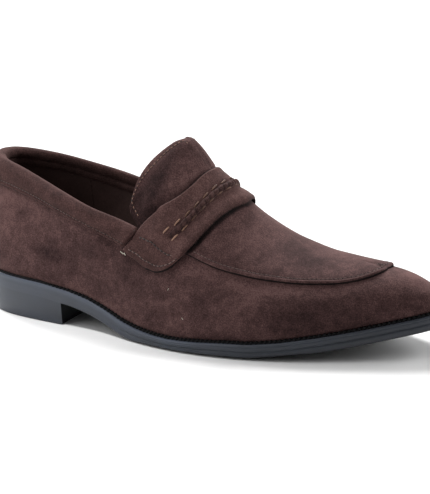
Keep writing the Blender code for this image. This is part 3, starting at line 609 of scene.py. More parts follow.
def stitches(name, places, size, material, rise=THREAD_RISE, sides=8):
    """Short threads that lie on the surface and dive into it at both ends."""
    radius, half = size.radius, size.length / 2
    turn = np.linspace(0, 2 * np.pi, sides, endpoint=False)
    points, faces = [], []
    for place, run, up in zip(*places):
        across = np.cross(run, up)
        base = len(points)
        for share, thick in THREAD_SHAPE:
            lift = radius * (rise - THREAD_DIVE * share * share)
            for a in turn:
                high = lift + radius * thick * THREAD_FLATTENED * np.sin(a)
                points.append(place + run * share * half + up * high + across * radius * thick * np.cos(a))
        ids = base + np.arange(len(THREAD_SHAPE) * sides).reshape(-1, sides)
        loop = np.concatenate([ids, ids[:, :1]], axis=1)
        faces += grid_quads(loop).reshape(-1, 4).tolist()
        faces += [ids[0, ::-1].tolist(), ids[-1].tolist()]
    add_piece(name, points, outward(points, faces), [material])


def sewn_row(name, line, size, thread):
    """A row of stitches on a line of points and normals, with short dark threads between them that paint the
    shade in the needle holes.
    """
    stitches(name, spaced(*line, size.pitch), size, thread)
    hole = Stitch(size.pitch, size.pitch - size.length, size.radius * HOLE_RADIUS)
    stitches(name + "_holes", spaced(*line, size.pitch, first=1.0), hole, THREAD_DARK, HOLE_RISE)


def inset_line(side, along, up, distance):
    """A line drawn on the last, moved sideways on its surface, to the left of its own direction."""
    step = 1e-3
    clipped = np.clip(along, step, 1 - step)
    run = (last_point(side, clipped + step, up) - last_point(side, clipped - step, up)) / (2 * step)
    climb = (last_point(side, along, up + step) - last_point(side, along, up - step)) / (2 * step)
    ahead = unit(np.gradient(last_point(side, along, up), axis=0))
    aside = np.cross(last_normal(side, along, up), ahead) * -side * distance
    rr, rc, cc = (run * run).sum(-1), (run * climb).sum(-1), (climb * climb).sum(-1)
    ra, ca = (run * aside).sum(-1), (climb * aside).sum(-1)
    det = rr * cc - rc * rc
    return along + (cc * ra - rc * ca) / det, up + (rr * ca - rc * ra) / det


# Materials

def srgb(r, g, b):
    """A colour as it is seen on a screen, 0 to 255, as light."""
    c = np.array([r, g, b]) / 255
    return (*np.where(c <= 0.04045, c / 12.92, ((c + 0.055) / 1.055) ** 2.4).tolist(), 1.0)


class Nodes:
    """A material and short names for its nodes."""

    def __init__(self, name):
        self.material = bpy.data.materials.new(name)
        self.material.use_nodes = True
        self.tree = self.material.node_tree
        self.shader = self.tree.nodes["Principled BSDF"]
        self.coords = self.add("ShaderNodeTexCoord").outputs["Object"]

    def add(self, kind, **values):
        node = self.tree.nodes.new(kind)
        for name, value in values.items():
            node.inputs[name].default_value = value
        return node

    def link(self, output, socket):
        self.tree.links.new(output, socket)

    def set(self, **values):
        for name, value in values.items():
            self.shader.inputs[name.replace("_", " ")].default_value = value

    def drive(self, **outputs):
        for name, output in outputs.items():
            self.link(output, self.shader.inputs[name.replace("_", " ")])

    def noise(self, scale, detail=3.0, roughness=0.55, distortion=0.0, stretch=None):
        node = self.add(
            "ShaderNodeTexNoise", Scale=scale, Detail=detail, Roughness=roughness, Distortion=distortion
        )
        source = self.coords
        if stretch:
            place = self.add("ShaderNodeMapping", Scale=stretch)
            self.link(source, place.inputs["Vector"])
            source = place.outputs["Vector"]
        self.link(source, node.inputs["Vector"])
        return node.outputs["Fac"]

    def maths(self, operation, a, b):
        node = self.add("ShaderNodeMath")
        node.operation = operation
        for socket, value in zip(node.inputs, (a, b)):
            if isinstance(value, (int, float)):
                socket.default_value = value
            else:
                self.link(value, socket)
        return node.outputs[0]

    def sum(self, first, *others):
        for other in others:
            first = self.maths("ADD", first, other)
        return first

    def swing(self, value, amount):
        """A noise, less its middle, times an amount."""
        return self.maths("MULTIPLY", self.maths("SUBTRACT", value, 0.5), amount)

    def tone(self):
        """The shift towards light or dark that a mesh carries at its points."""
        node = self.add("ShaderNodeAttribute")
        node.attribute_name = "tone"
        return node.outputs["Fac"]

    def ramp(self, value, *stops):
        """Colours, 0 to 255, at places from 0 to 1."""
        node = self.add("ShaderNodeValToRGB")
        elements = node.color_ramp.elements
        while len(elements) < len(stops):
            elements.new(0.5)
        for element, (place, colour) in zip(elements, stops):
            element.position, element.color = place, srgb(*colour)
        self.link(value, node.inputs["Fac"])
        return node.outputs["Color"]

    def bump(self, height, strength, distance, under=None):
        node = self.add("ShaderNodeBump", Strength=strength, Distance=distance)
        self.link(height, node.inputs["Height"])
        if under is not None:
            self.link(under, node.inputs["Normal"])
        return node.outputs["Normal"]


DEEP_SHADE, NAP_SHEEN = (7, 5, 5), (200, 160, 155)


def suede_material(name, dark, middle, light, contrast, sheen=0.18):
    """Brushed suede: broad brush marks, finer mottling, and a short nap."""
    n = Nodes(name)
    broad = n.noise(26, 3.0, 0.5, 0.7)
    brushed = n.noise(62, 4.0, 0.6, 1.1, stretch=(0.55, 0.55, 1.0))
    mottle = n.noise(240, 3.0, 0.6, 0.3)
    nap = n.noise(1500, 2.0, 0.65)
    marks = n.sum(n.swing(broad, 1.05 * contrast), n.swing(brushed, 1.15 * contrast))
    value = n.sum(marks, n.swing(mottle, 0.95 * contrast), n.swing(nap, 1.7), n.tone(), 1.1)
    value = n.maths("MULTIPLY", value, 0.625)
    colour = n.ramp(value, (0.0, DEEP_SHADE), (0.375, dark), (0.6875, middle), (1.0, light))
    coarse = n.bump(n.noise(420, 3.0, 0.6), 0.22, 0.0006)
    n.drive(Base_Color=colour, Roughness=n.sum(n.swing(mottle, 0.12), 0.92))
    n.drive(Normal=n.bump(nap, 0.38, 0.00035, coarse))
    n.set(Sheen_Weight=sheen, Sheen_Roughness=0.42, Sheen_Tint=srgb(*NAP_SHEEN), Specular_IOR_Level=0.12)
    return n.material


def lining_material(name, dark, middle, light):
    n = Nodes(name)
    blotch, grain = n.noise(60, 3.0, 0.55), n.noise(900, 2.0, 0.6)
    value = n.sum(n.swing(blotch, 0.8), n.swing(grain, 0.5), 0.5)
    n.drive(Base_Color=n.ramp(value, (0.0, dark), (0.5, middle), (1.0, light)))
    n.drive(Roughness=n.sum(n.swing(blotch, 0.2), 0.66), Normal=n.bump(grain, 0.3, 0.0003))
    n.set(Specular_IOR_Level=0.3)
    return n.material


def rubber_material(name, dark, light, rough, specular=0.4):
    n = Nodes(name)
    cloud = n.noise(34, 3.0, 0.5)
    rubbed = n.noise(190, 3.0, 0.6, 0.4, stretch=(0.25, 0.25, 1.0))
    grain = n.noise(2300, 1.0, 0.5)
    value = n.sum(n.swing(cloud, 0.45), n.swing(rubbed, 0.40), n.tone(), 0.5)
    n.drive(Base_Color=n.ramp(value, (0.0, dark), (1.0, light)))
    n.drive(Roughness=n.sum(n.swing(rubbed, 0.25), rough), Normal=n.bump(grain, 0.10, 0.0002))
    n.set(Specular_IOR_Level=specular)
    return n.material


def thread_material(name, dark, light):
    n = Nodes(name)
    change = n.noise(140, 2.0, 0.6)
    twist = n.add("ShaderNodeTexWave", Scale=700, Distortion=1.0)
    n.link(n.coords, twist.inputs["Vector"])
    value = n.sum(n.swing(change, 1.6), n.swing(twist.outputs["Fac"], 0.3), 0.5)
    n.drive(Base_Color=n.ramp(value, (0.0, dark), (1.0, light)))
    n.drive(Normal=n.bump(twist.outputs["Fac"], 0.4, 0.0002))
    n.set(Roughness=0.75, Specular_IOR_Level=0.25, Sheen_Weight=0.15)
    return n.material


SUEDE = suede_material("suede", (38, 24, 24), (64, 45, 44), (92, 68, 66), 0.9)
SUEDE_STRAP = suede_material("suede_strap", (40, 26, 25), (65, 45, 43), (91, 67, 64), 0.7)
SUEDE_INSIDE = suede_material("suede_inside", (44, 30, 28), (64, 46, 44), (84, 63, 60), 0.8)
# A near-black suede for the rims of the collar band, the apron, the tongue and the strap: their dark cut
# edges, and painted shadow in the gaps under them.
DARK_EDGE_AND_SHADOW = suede_material("dark_edge_and_shadow", (13, 9, 9), (22, 15, 15), (35, 25, 24), 0.5, sheen=0.0)
LINING = lining_material("lining_leather", (48, 36, 33), (70, 53, 50), (91, 70, 66))
RUBBER = rubber_material("slate_rubber", (26, 29, 35), (63, 69, 81), 0.46)
# A darker copy of the slate rubber for the heel's breast: painted shade on the face that turns away from the
# light.
RUBBER_SHADED = rubber_material("breast_rubber_painted_shade", (14, 16, 18), (24, 26, 30), 0.7, 0.2)
WELTING = rubber_material("black_welting", (6, 6, 7), (17, 17, 19), 0.8, 0.15)
THREAD_TAN = thread_material("thread_tan", (108, 78, 62), (160, 124, 104))
THREAD_EDGE = thread_material("thread_edge", (76, 53, 46), (134, 101, 86))
THREAD_PALE = thread_material("thread_pale", (58, 42, 40), (122, 97, 91))
THREAD_SOFT = thread_material("thread_soft", (60, 44, 42), (104, 81, 76))
THREAD_BROWN = thread_material("thread_brown", (58, 39, 33), (114, 82, 65))
THREAD_DARK = thread_material("thread_dark", (18, 12, 11), (40, 28, 26))
THREAD_WHITE = thread_material("thread_white", (160, 154, 140), (196, 190, 176))


# Shapes of the soft surface: soft troughs (below zero) and ridges, and patches of tone that are brush marks
# of the nap, some of them painted sheen and painted shade.
# A crease's turn is in degrees, and its length, width and height are in millimetres.
CREASES = named_rows(
    "side along up turn length width height",
    (OUTER, 0.300, 0.42, 75, 34, 12, -0.45),
    (OUTER, 0.345, 0.36, 70, 30, 10, 0.35),
    (OUTER, 0.120, 0.40, 80, 30, 14, -0.35),
    (OUTER, 0.195, 0.30, 65, 30, 14, 0.30),
    (OUTER, 0.560, 0.25, 35, 40, 14, -0.35),
    (OUTER, 0.660, 0.28, 20, 44, 14, 0.30),
    (OUTER, 1.000, 0.40, 90, 26, 44, -1.30),
    (INNER, 1.000, 0.40, 90, 26, 44, -1.30),
    (INNER, 0.290, 0.42, 75, 34, 12, -0.45),
    (INNER, 0.360, 0.34, 70, 30, 12, 0.35),
    (INNER, 0.150, 0.40, 80, 30, 14, -0.30),
    (INNER, 0.580, 0.25, 35, 40, 14, -0.35),
)
PATCH_COLUMNS = "side along up reach_along reach_up tone"
# Patches of tone on the upper: brush marks of the nap, painted shade low on the forefoot and on the quarters,
# and painted sheen just under the apron's edge.
PATCHES = named_rows(
    PATCH_COLUMNS,
    (OUTER, 0.80, 0.10, 0.26, 0.30, -0.20),
    (OUTER, 0.715, 0.17, 0.10, 0.10, -0.12),
    (OUTER, 0.96, 0.25, 0.10, 0.30, -0.08),
    (OUTER, 0.98, 0.62, 0.08, 0.22, 0.18),
    (OUTER, 0.55, 0.20, 0.05, 0.09, -0.16),
    (OUTER, 0.626, 0.40, 0.06, 0.07, 0.24),
    (OUTER, 0.70, 0.42, 0.07, 0.06, 0.30),
    (OUTER, 0.87, 0.50, 0.06, 0.07, 0.16),
    (OUTER, 0.80, 0.40, 0.05, 0.05, 0.20),
    (OUTER, 0.77, 0.48, 0.07, 0.035, 0.24),
    (OUTER, 0.76, 0.30, 0.035, 0.07, 0.16),
    (OUTER, 0.58, 0.23, 0.02, 0.05, 0.14),
    (OUTER, 0.91, 0.36, 0.04, 0.08, 0.14),
    (OUTER, 0.36, 0.00, 0.09, 0.07, 0.34),
    (OUTER, 0.216, 0.17, 0.03, 0.07, 0.22),
    (OUTER, 0.244, 0.26, 0.035, 0.09, -0.30),
    (OUTER, 0.31, 0.42, 0.09, 0.20, -0.26),
    (OUTER, 0.15, 0.62, 0.10, 0.24, 0.34),
    (OUTER, 0.163, 0.57, 0.02, 0.05, -0.26),
    (OUTER, 0.12, 0.25, 0.05, 0.14, 0.12),
    (INNER, 0.80, 0.10, 0.26, 0.30, -0.20),
    (INNER, 0.96, 0.25, 0.10, 0.30, -0.08),
    (INNER, 0.98, 0.62, 0.08, 0.22, 0.18),
    (INNER, 0.30, 0.30, 0.08, 0.16, -0.22),
    (INNER, 0.16, 0.66, 0.10, 0.20, 0.20),
    (INNER, 0.36, 0.00, 0.09, 0.07, 0.30),
)
APRON_PATCHES = named_rows(
    PATCH_COLUMNS,
    (OUTER, 0.765, 0.80, 0.045, 0.12, -0.44),
    (OUTER, 0.725, 0.90, 0.040, 0.14, -0.26),
    (OUTER, 0.840, 0.74, 0.030, 0.12, 0.14),
    (OUTER, 0.740, 1.00, 0.035, 0.10, -0.24),
    (INNER, 0.740, 0.92, 0.035, 0.12, -0.30),
)


def relief(side, along, up):
    """The soft troughs and ridges of the quarters and the vamp, in metres."""
    total = np.zeros(np.broadcast(along, up).shape)
    for c in CREASES:
        if c.side == side:
            x, y = (along - c.along) * LAST_RUN / MM, (up - c.up) * LAST_GIRTH / MM
            turn = np.radians(c.turn)
            run, aside = x * np.cos(turn) + y * np.sin(turn), -x * np.sin(turn) + y * np.cos(turn)
            total += c.height * MM * bell(aside, 0, c.width / 2) * bell(run, 0, c.length / 2)
    return total


def patch_tone(patches, side, along, up):
    """Patches lighter or darker: brush marks of the nap, and on the upper also painted sheen and painted
    shade.
    """
    total = np.zeros(np.broadcast(along, up).shape)
    for p in patches:
        if p.side == side:
            total += p.tone * bell(along, p.along, p.reach_along) * bell(up, p.up, p.reach_up)
    return total


# The upper

UNDER_RIM, UNDER_RIM_ENDS = 0.016, 0.385
FOOT_TUCK, FOOT_TUCK_REACH, UPPER_FOOT, LOWER_AT_HEEL = 0.0004, 0.025, -0.016, 0.004


def upper_foot(along):
    """Where the upper ends behind the welt: further down round the heel, whose welt is thinner."""
    return UPPER_FOOT - LOWER_AT_HEEL * (1 - ease(along, 0.20, 0.10))


def make_upper():
    along = np.sort(np.append(stations(181), np.linspace(0.35, 0.55, 60)))[None, :]
    share = np.linspace(0, 1, 57)[:, None]
    share = 0.8 * share + 0.2 * share**2
    foot = upper_foot(along)

    def pair(side):
        under_rim = UNDER_RIM * (1 - ease(along, UNDER_RIM_ENDS, 0.02))
        up = foot + share * (throat_up(side, along) - under_rim - foot)
        tuck = -FOOT_TUCK * (1 - ease(up, foot, FOOT_TUCK_REACH))
        over = skin(side, along, up, relief(side, along, up) + tuck)
        return over, skin(side, along, up, -UPPER_WALL), patch_tone(PATCHES, side, along, up)

    shell("upper_suede", pair, [SUEDE, LINING, LINING], ["upper"])


# The collar's section: first up the outside, by share of the band's height, then over the rim and
# down the inside, by height over the topline. Offsets are out from the last, all in millimetres.
BAND_OUTSIDE = named_rows(
    "share offset",
    (-0.045, -0.2), (-0.038, 0.12), (-0.012, 0.75), (0.005, 1.20), (0.040, 1.50), (0.085, 1.45),
    (0.125, 1.10), (0.160, 1.10), (0.205, 1.55), (0.280, 2.10), (0.390, 2.55), (0.520, 2.75),
    (0.640, 2.70), (0.760, 2.45), (0.860, 2.05),
)
BAND_RIM = named_rows(
    "height offset",
    (-0.60, 1.55), (0.15, 1.28), (0.70, 0.80), (1.05, 0.20), (1.18, -0.50), (1.10, -1.20),
    (0.80, -1.90), (0.25, -2.50), (-0.70, -2.95), (-1.80, -3.10), (-2.90, -3.00), (-3.70, -2.70),
    (-4.20, -2.25), (-4.70, -2.25), (-5.20, -2.70), (-6.20, -2.95), (-7.80, -2.95), (-8.80, -2.70),
    (-9.40, -2.20), (-9.60, -1.20),
)
BAND_LOW = np.linspace(0, 1, 120) * BAND_SEAM_END
BAND_FORWARD = (BAND_LOW / BAND_SEAM_END) ** 4
# The first steps of the outside, which are dark as a painted shadow under the band's lower edge, and the step
# where the stitches' groove begins
BAND_SHADED_STEPS, BAND_SEWN = 2, 6
# How much thicker the padded rim is at the back of the heel, and how much higher it is on each side
HEEL_PAD, HEEL_PAD_REACH, RIM_HIGHER = 0.9, 0.10, {OUTER: -0.45, INNER: 0.45}
COLLAR_TONE = -0.12


def girth_at(side, along, up):
    """How far the last climbs for one unit of up, and in which direction."""
    step = 2e-3
    high = np.minimum(up, 1 - step)
    climb = (last_point(side, along, high + step) - last_point(side, along, high - step)) / (2 * step)
    size = np.linalg.norm(climb, axis=-1)
    return size, climb / size[..., None]


def band_rings(side):
    """The collar's sections on one side, from the heel's back to the strap."""
    top_along = BAND_LOW + (BAND_TOP_END - BAND_SEAM_END) * BAND_FORWARD
    low_up, top_up = up_at_height(side, BAND_LOW, BAND_SEAM), throat_up(side, top_along)
    lift = 2 * OVERLAY_GAP * BAND_FORWARD
    columns = []
    for step in BAND_OUTSIDE:
        along = BAND_LOW + (top_along - BAND_LOW) * step.share
        up = low_up + (top_up - low_up) * step.share
        columns.append(skin(side, along, up, lift + step.offset * MM))
    girth, climb = girth_at(side, top_along, top_up)
    normal = last_normal(side, top_along, np.minimum(top_up, 0.995))
    higher = RIM_HIGHER[side] * smooth(BAND_LOW / 0.12)
    padding = HEEL_PAD * bell(BAND_LOW, 0, HEEL_PAD_REACH)
    for step in BAND_RIM:
        height = (step.height + higher * (step.height > -1)) * MM
        up = top_up + np.minimum(height, 0.0) / girth
        base = last_point(side, top_along, up) + climb * np.maximum(height, 0.0)[:, None]
        thick = lift if step.offset > 0 else step.offset * MM * padding
        columns.append(base + normal * (step.offset * MM + thick[:, None]))
    return eased(np.stack(columns, axis=1))


def eased(rings):
    """The sections, with the kink in front of the topline's low point smoothed away."""
    soft = rings.copy()
    for _ in range(60):
        soft[1:-1] = (soft[:-2] + 2 * soft[1:-1] + soft[2:]) / 4
    weight = ease(BAND_LOW, 0.20, 0.06) * fade(BAND_LOW, 0.385, 0.02)
    return rings + (soft - rings) * weight[:, None, None]


def make_collar():
    rings = {side: band_rings(side) for side in SIDES}
    outer, inner = rings.values()
    outer[0] = inner[0] = (outer[0] + inner[0]) / 2
    inside = [int(step.height < -1.0 and step.offset < 0) for step in BAND_RIM]
    # The band's lowest steps take the near-black suede, a painted shadow under its edge.
    indices = np.array([2] * BAND_SHADED_STEPS + [0] * (len(BAND_OUTSIDE) - BAND_SHADED_STEPS) + inside)
    round_heel = np.concatenate([outer[::-1], inner[1:]])
    materials = [SUEDE_STRAP, SUEDE_INSIDE, DARK_EDGE_AND_SHADOW]
    collar = sweep(
        "collar_band_suede", round_heel, materials, ["collar_band"], indices, COLLAR_TONE
    )
    for side, label in SIDES.items():
        normals = last_normal(side, BAND_LOW, up_at_height(side, BAND_LOW, BAND_SEAM))
        points = rings[side][:, BAND_SEWN : BAND_SEWN + 2].mean(axis=1) + normals * 0.05 * MM
        sewn_row("collar_stitches_" + label, (points, normals), COLLAR_STITCH, THREAD_SOFT)


# The apron's height over its bed, by distance in from its edge, in millimetres
APRON_SECTION = [(0.0, 0.85), (0.12, 1.10), (0.3, 1.30), (0.55, 1.45), (0.9, 1.55), (1.3, 1.55),
                 (1.7, 1.42), (2.1, 1.24), (2.5, 1.16), (2.9, 1.20), (3.4, 1.28), (4.2, 1.34), (5.2, 1.36)]
APRON_NEAR, APRON_HEIGHT = (np.array(column) * MM for column in zip(*APRON_SECTION))
# The rest of the apron's rows, as shares of the way from the last of those distances to the ridge
APRON_FAR = np.linspace(0, 1, 30)[1:]
APRON_SEWN_IN, APRON_SEWN_HEIGHT, APRON_SEWN_FROM, APRON_SEWN_TO = 0.0025, 0.0012, 0.535, 0.9995
APRON_TURNS = 0.85
APRON_FLANGE, APRON_FLANGE_REACH, APRON_FULLER = 0.35 * MM, 0.3 * MM, 0.6 * MM
APRON_SLANT_LIMIT, APRON_THINS = 3.0, 0.45
STRAP_SHADE, STRAP_SHADE_REACH = -1.10, 1.9 * MM


def strap_shade(along, up):
    """Painted shadow: the dark line on the apron under the strap's rolled front."""
    edge = rising([p.front_up for p in STRAP_EDGES], [p.front_along for p in STRAP_EDGES], up)
    beyond = np.maximum(along - edge, 0.0) * LAST_RUN
    return STRAP_SHADE * ease(up, 0.42, 0.04) * np.exp(-((beyond / STRAP_SHADE_REACH) ** 4))


def to_ridge(side, along, low):
    """How far it is on the last from a place up to the ridge."""
    lines = (last_point(side, np.full(9, a), np.linspace(u, 1, 9)) for a, u in zip(along, low))
    return np.array([walk(line)[-1] for line in lines])


def two_paces(first, count, last, count_at_toe):
    """Places along the shoe, closer together where the apron turns round the toe."""
    sides, toe = np.linspace(first, APRON_TURNS, count), np.linspace(APRON_TURNS, last, count_at_toe)
    return np.concatenate([sides, toe[1:]])


def make_apron():
    places = two_paces(apron_back(1.0), 170, 1.0, 90)
    edge_up = apron_up(places)
    depth = np.concatenate([APRON_NEAR, np.ones(APRON_FAR.shape)])[:, None]
    section = np.concatenate([APRON_HEIGHT, np.full(APRON_FAR.shape, APRON_HEIGHT[-1])])[:, None]
    step = 1e-3
    ahead, behind = np.minimum(places + step, 1), places - step
    steep = (apron_up(ahead) - apron_up(behind)) / (2 * step)

    def pair(side):
        span = 1 - edge_up
        girth = to_ridge(side, places, edge_up)
        run = last_point(side, ahead, edge_up) - last_point(side, behind, edge_up)
        run = np.maximum(np.linalg.norm(run, axis=-1) / (2 * step), MM)
        slant = np.minimum(np.sqrt(1 + (steep * girth / span / run) ** 2), APRON_SLANT_LIMIT)
        reach = slant * APRON_NEAR[-1] / girth
        near_edge = APRON_NEAR[:, None] / APRON_NEAR[-1] * reach
        share = np.concatenate([near_edge, reach + (1 - reach) * APRON_FAR[:, None]])
        walked = (places - places[0]) / (1 - places[0])
        along = places + (apron_back(edge_up + span * share) - places[0]) * (1 - walked) ** 4
        low = apron_up(along)
        up = low + (1 - low) * share
        height = section * (1 - APRON_THINS * ease(along, 0.90, 0.08))
        fuller = APRON_FULLER * bell(along, 0.62, 0.05) * ease(up, 0.7, 0.3)
        over = skin(side, along, up, OVERLAY_GAP * 0.5 + height + fuller)
        # The under skin reaches past the top as a flange, so that the dark rim shows as a line under the
        # apron's edge: its dark edge and a painted shadow.
        flange = APRON_FLANGE * np.exp(-depth / APRON_FLANGE_REACH) * slant * span / girth
        under = skin(side, along, up - flange, OVERLAY_GAP * 0.3)
        # Painted highlight on the apron's crown, over a slightly lighter apron, and painted shade towards the
        # toe; the patches are brush marks and smudges.
        painted_crown_highlight = bell(along, 0.66, 0.14) * ease(up, 0.55, 0.3) * 0.10 + 0.08
        painted_toe_shade = -0.16 * ease(along, 0.80, 0.2)
        brushed = patch_tone(APRON_PATCHES, side, along, up)
        return over, under, painted_crown_highlight + painted_toe_shade + brushed + strap_shade(along, up)

    shell("apron_suede", pair, [SUEDE, SUEDE_INSIDE, DARK_EDGE_AND_SHADOW], ["apron"])
    for side, label in SIDES.items():
        along = two_paces(APRON_SEWN_FROM, 260, APRON_SEWN_TO, 260)
        along, up = inset_line(side, along, apron_up(along), APRON_SEWN_IN)
        along, up = along[along < APRON_SEWN_TO], up[along < APRON_SEWN_TO]
        points = skin(side, along, up, OVERLAY_GAP * 0.5 + APRON_SEWN_HEIGHT)
        sewn_row("apron_stitches_" + label, (points, last_normal(side, along, up)), APRON_STITCH, THREAD_SOFT)


# The tongue's free edge stands a little further back and up than the solid's, and its tip and its rear
# are rounder: metres
TONGUE_STRETCH = np.array([-0.0022, 0.0, 0.0016])
TONGUE_ROUND_FROM, TONGUE_ROUND_OVER, TONGUE_ROUND_REAR = 0.1062, 3 * MM, 0.0017
TONGUE_PROUD, TONGUE_ROUNDING, TONGUE_GROOVE, TONGUE_SHADE = 0.2 * MM, 0.8 * MM, 0.25 * MM, -0.70
TONGUE_SEWN, TONGUE_SEWN_TOP = 0.029, 0.925
# About how long and high the tongue is, and how far its edge's rounding reaches in, in millimetres
TONGUE_RUN, TONGUE_RISE, TONGUE_ROUNDED_OVER = 60, 45, 1.2


def tongue_place(side, columns, share):
    """The tongue's own grid on the last, as in the solids."""
    nominal = TONGUE_BACK + TONGUE_LAP + (TONGUE_FRONT - TONGUE_BACK - TONGUE_LAP) * columns
    corner = TONGUE_CORNER * np.clip(1 - columns / TONGUE_CORNER_REACH, 0, 1) ** 2
    low = throat_up(side, nominal) - TONGUE_TUCK
    up = low + (1 - corner - low) * share
    back = TONGUE_BACK + TONGUE_LEAN * (1 - up)
    along = back + (TONGUE_FRONT - back) * columns
    covered = fade(above_throat(side, along, up), TONGUE_DIVE, TONGUE_DIVE - TONGUE_CLEAR)
    return along, up, FACET_GAP / 2 + (UPPER_WALL + 1.5 * FACET_GAP) * covered


def tongue_point(side, columns, share, offset):
    """A point of the tongue, offset out from its own top side."""
    along, up, inset = tongue_place(side, columns, share)
    rear = 1 - smooth(columns / 0.14)
    top = ease(up, 0.76, 0.24) * (1 - ease(along, 0.440, 0.050))
    corner = 0.45 * rear * bell(up, 0.85, 0.05)
    stretch = np.maximum(rear - corner, top)[..., None] * TONGUE_STRETCH
    stretch[..., 0] -= TONGUE_ROUND_REAR * rear * bell(up, 0.66, 0.10)
    place = skin(side, along, up, offset - inset) + stretch
    over = np.maximum(place[..., 2] - TONGUE_ROUND_FROM, 0.0)
    place[..., 2] -= over - TONGUE_ROUND_OVER * (1 - np.exp(-over / TONGUE_ROUND_OVER))
    return place


def make_tongue():
    columns = np.concatenate([[0, 0.004, 0.011, 0.02], np.linspace(0.03, 1, 86)])[None, :]
    share = np.concatenate([np.linspace(0, 0.95, 50), [0.965, 0.978, 0.988, 0.995, 1.0]])[:, None]

    def pair(side):
        along, up, _ = tongue_place(side, columns, share)
        # How far it is to the free edge, in millimetres: on the ridge there is none above
        to_rear = columns * TONGUE_RUN
        to_top = (1 - share) * TONGUE_RISE + ease(along, RIDGE_STARTS, 0.006) * 5
        round_off = TONGUE_ROUNDING * (1 - rounded(np.minimum(to_top, to_rear) / TONGUE_ROUNDED_OVER))
        groove = TONGUE_GROOVE * bell(np.minimum(to_top * 0.36, to_rear), 2.1, 0.6)
        over = tongue_point(side, columns, share, TONGUE_PROUD - round_off - groove)
        under = tongue_point(side, columns, share, round_off - TONGUE_THICKNESS)
        shade = TONGUE_SHADE * fade(up, 0.98, 0.24) * fade(along, 0.490, 0.06)
        return over, under, shade + 0.12

    shell("tongue_suede", pair, [SUEDE, LINING, DARK_EDGE_AND_SHADOW], ["tongue"])
    across = np.linspace(TONGUE_SEWN, 0.43, 240)
    sewn_columns = np.concatenate([np.full(80, TONGUE_SEWN), across])
    along_top = TONGUE_SEWN_TOP - 0.055 * ease(across, 0.06, 0.16)
    sewn_share = np.concatenate([np.linspace(0.30, 0.920, 80), along_top])
    for side, label in SIDES.items():
        points = tongue_point(side, sewn_columns, sewn_share, 0.02 * MM)
        normals = last_normal(side, *tongue_place(side, sewn_columns, sewn_share)[:2])
        sewn_row("tongue_stitches_" + label, (points, normals), TONGUE_STITCH, THREAD_EDGE)


# The strap's section: across its width and its height in millimetres. A flat back, the bed of the
# ruched seam, and a rolled front fold that curls in under itself.
STRAP_SECTION = [(0.0, 0.55), (0.012, 0.95), (0.03, 1.15), (0.07, 1.25), (0.20, 1.30), (0.32, 1.30),
                 (0.375, 1.15), (0.46, 1.20), (0.545, 0.95), (0.61, 1.35), (0.69, 2.15), (0.77, 2.75),
                 (0.85, 2.95), (0.92, 2.80), (0.965, 2.40), (0.995, 1.85)]
STRAP_FRONT = [(1.014, 1.62), (1.016, 1.40), (1.004, 1.22), (0.970, 1.12), (0.920, 1.00), (0.870, 0.70),
               (0.855, 0.30), (0.845, -0.10)]
STRAP_CREASES = named_rows(
    "across share reach_across reach_share depth",
    (0.10, 0.70, 0.22, 0.020, 0.45), (0.20, 0.55, 0.16, 0.018, 0.40), (0.80, 0.42, 0.12, 0.030, 0.25),
    (0.26, 0.34, 0.18, 0.020, 0.40),
)
STRAP_CREASE_SLANT = 0.12
STRAP_THINNER_CROWN, STRAP_TROUGH, STRAP_BED, STRAP_TAB = 0.7 * MM, 0.35 * MM, 0.30 * MM, 0.25 * MM
STRAP_OPEN_FRONT, STRAP_EDGE_ROUND = 0.8 * MM, 0.022
# The strap lies closer to the vamp than its solid does, which has to clear it
STRAP_SETTLED, STRAP_CROWN_SETTLED = 0.62, 0.95
ROLL_PLACE, ROLL_DRIFT, ROLL_HALF_WIDTH, ROLL_START = 0.46, 0.06, 0.085, 0.30


def cross_seam(across):
    """Where the sewn line across the strap's end runs."""
    return 0.130 + 0.030 * (1 - ((across - 0.43) / 0.36) ** 2)


def roll_middle(share):
    return ROLL_PLACE + ROLL_DRIFT * (1 - share) ** 2


def strap_creases(across, share):
    total = 0.0
    for c in STRAP_CREASES:
        slanted = share - STRAP_CREASE_SLANT * (across - c.across)
        hill = bell(across, c.across, c.reach_across) * bell(slanted, c.share, c.reach_share)
        total = total + c.depth * MM * hill
    return total


def strap_height(across, share):
    """The strap's top over its own underside."""
    full = table(STRAP_SECTION, np.minimum(across, STRAP_SECTION[-1][0])) * MM
    full = full - STRAP_THINNER_CROWN * ease(share, 0.70, 0.3) * ease(across, 0.55, 0.2)
    full = full * (STRAP_END_SHARE + (1 - STRAP_END_SHARE) * smooth(share / STRAP_END_REACH))
    seam, behind_roll = cross_seam(across), fade(across, 0.80, 0.06)
    trough = STRAP_TROUGH * bell(share, seam, 0.022) * behind_roll
    bed = STRAP_BED * bell(across, roll_middle(share), 0.11) * ease(share, 0.24, 0.06)
    tab = STRAP_TAB * fade(share, seam, 0.03) * behind_roll
    return full - trough - bed + tab - strap_creases(across, share)


def strap_point(side, across, share, height):
    along, up = strap_place(across, share)
    settled = STRAP_SETTLED + (STRAP_CROWN_SETTLED - STRAP_SETTLED) * ease(share, 0.75, 0.25)
    return skin(side, along, up, strap_lift(across, share) * settled + height)


def strap_line(side, across, share, height):
    """Points on the strap's own top, at a height over it, and the normals there."""
    points = strap_point(side, across, share, strap_height(across, share) + height)
    return points, last_normal(side, *strap_place(across, share))


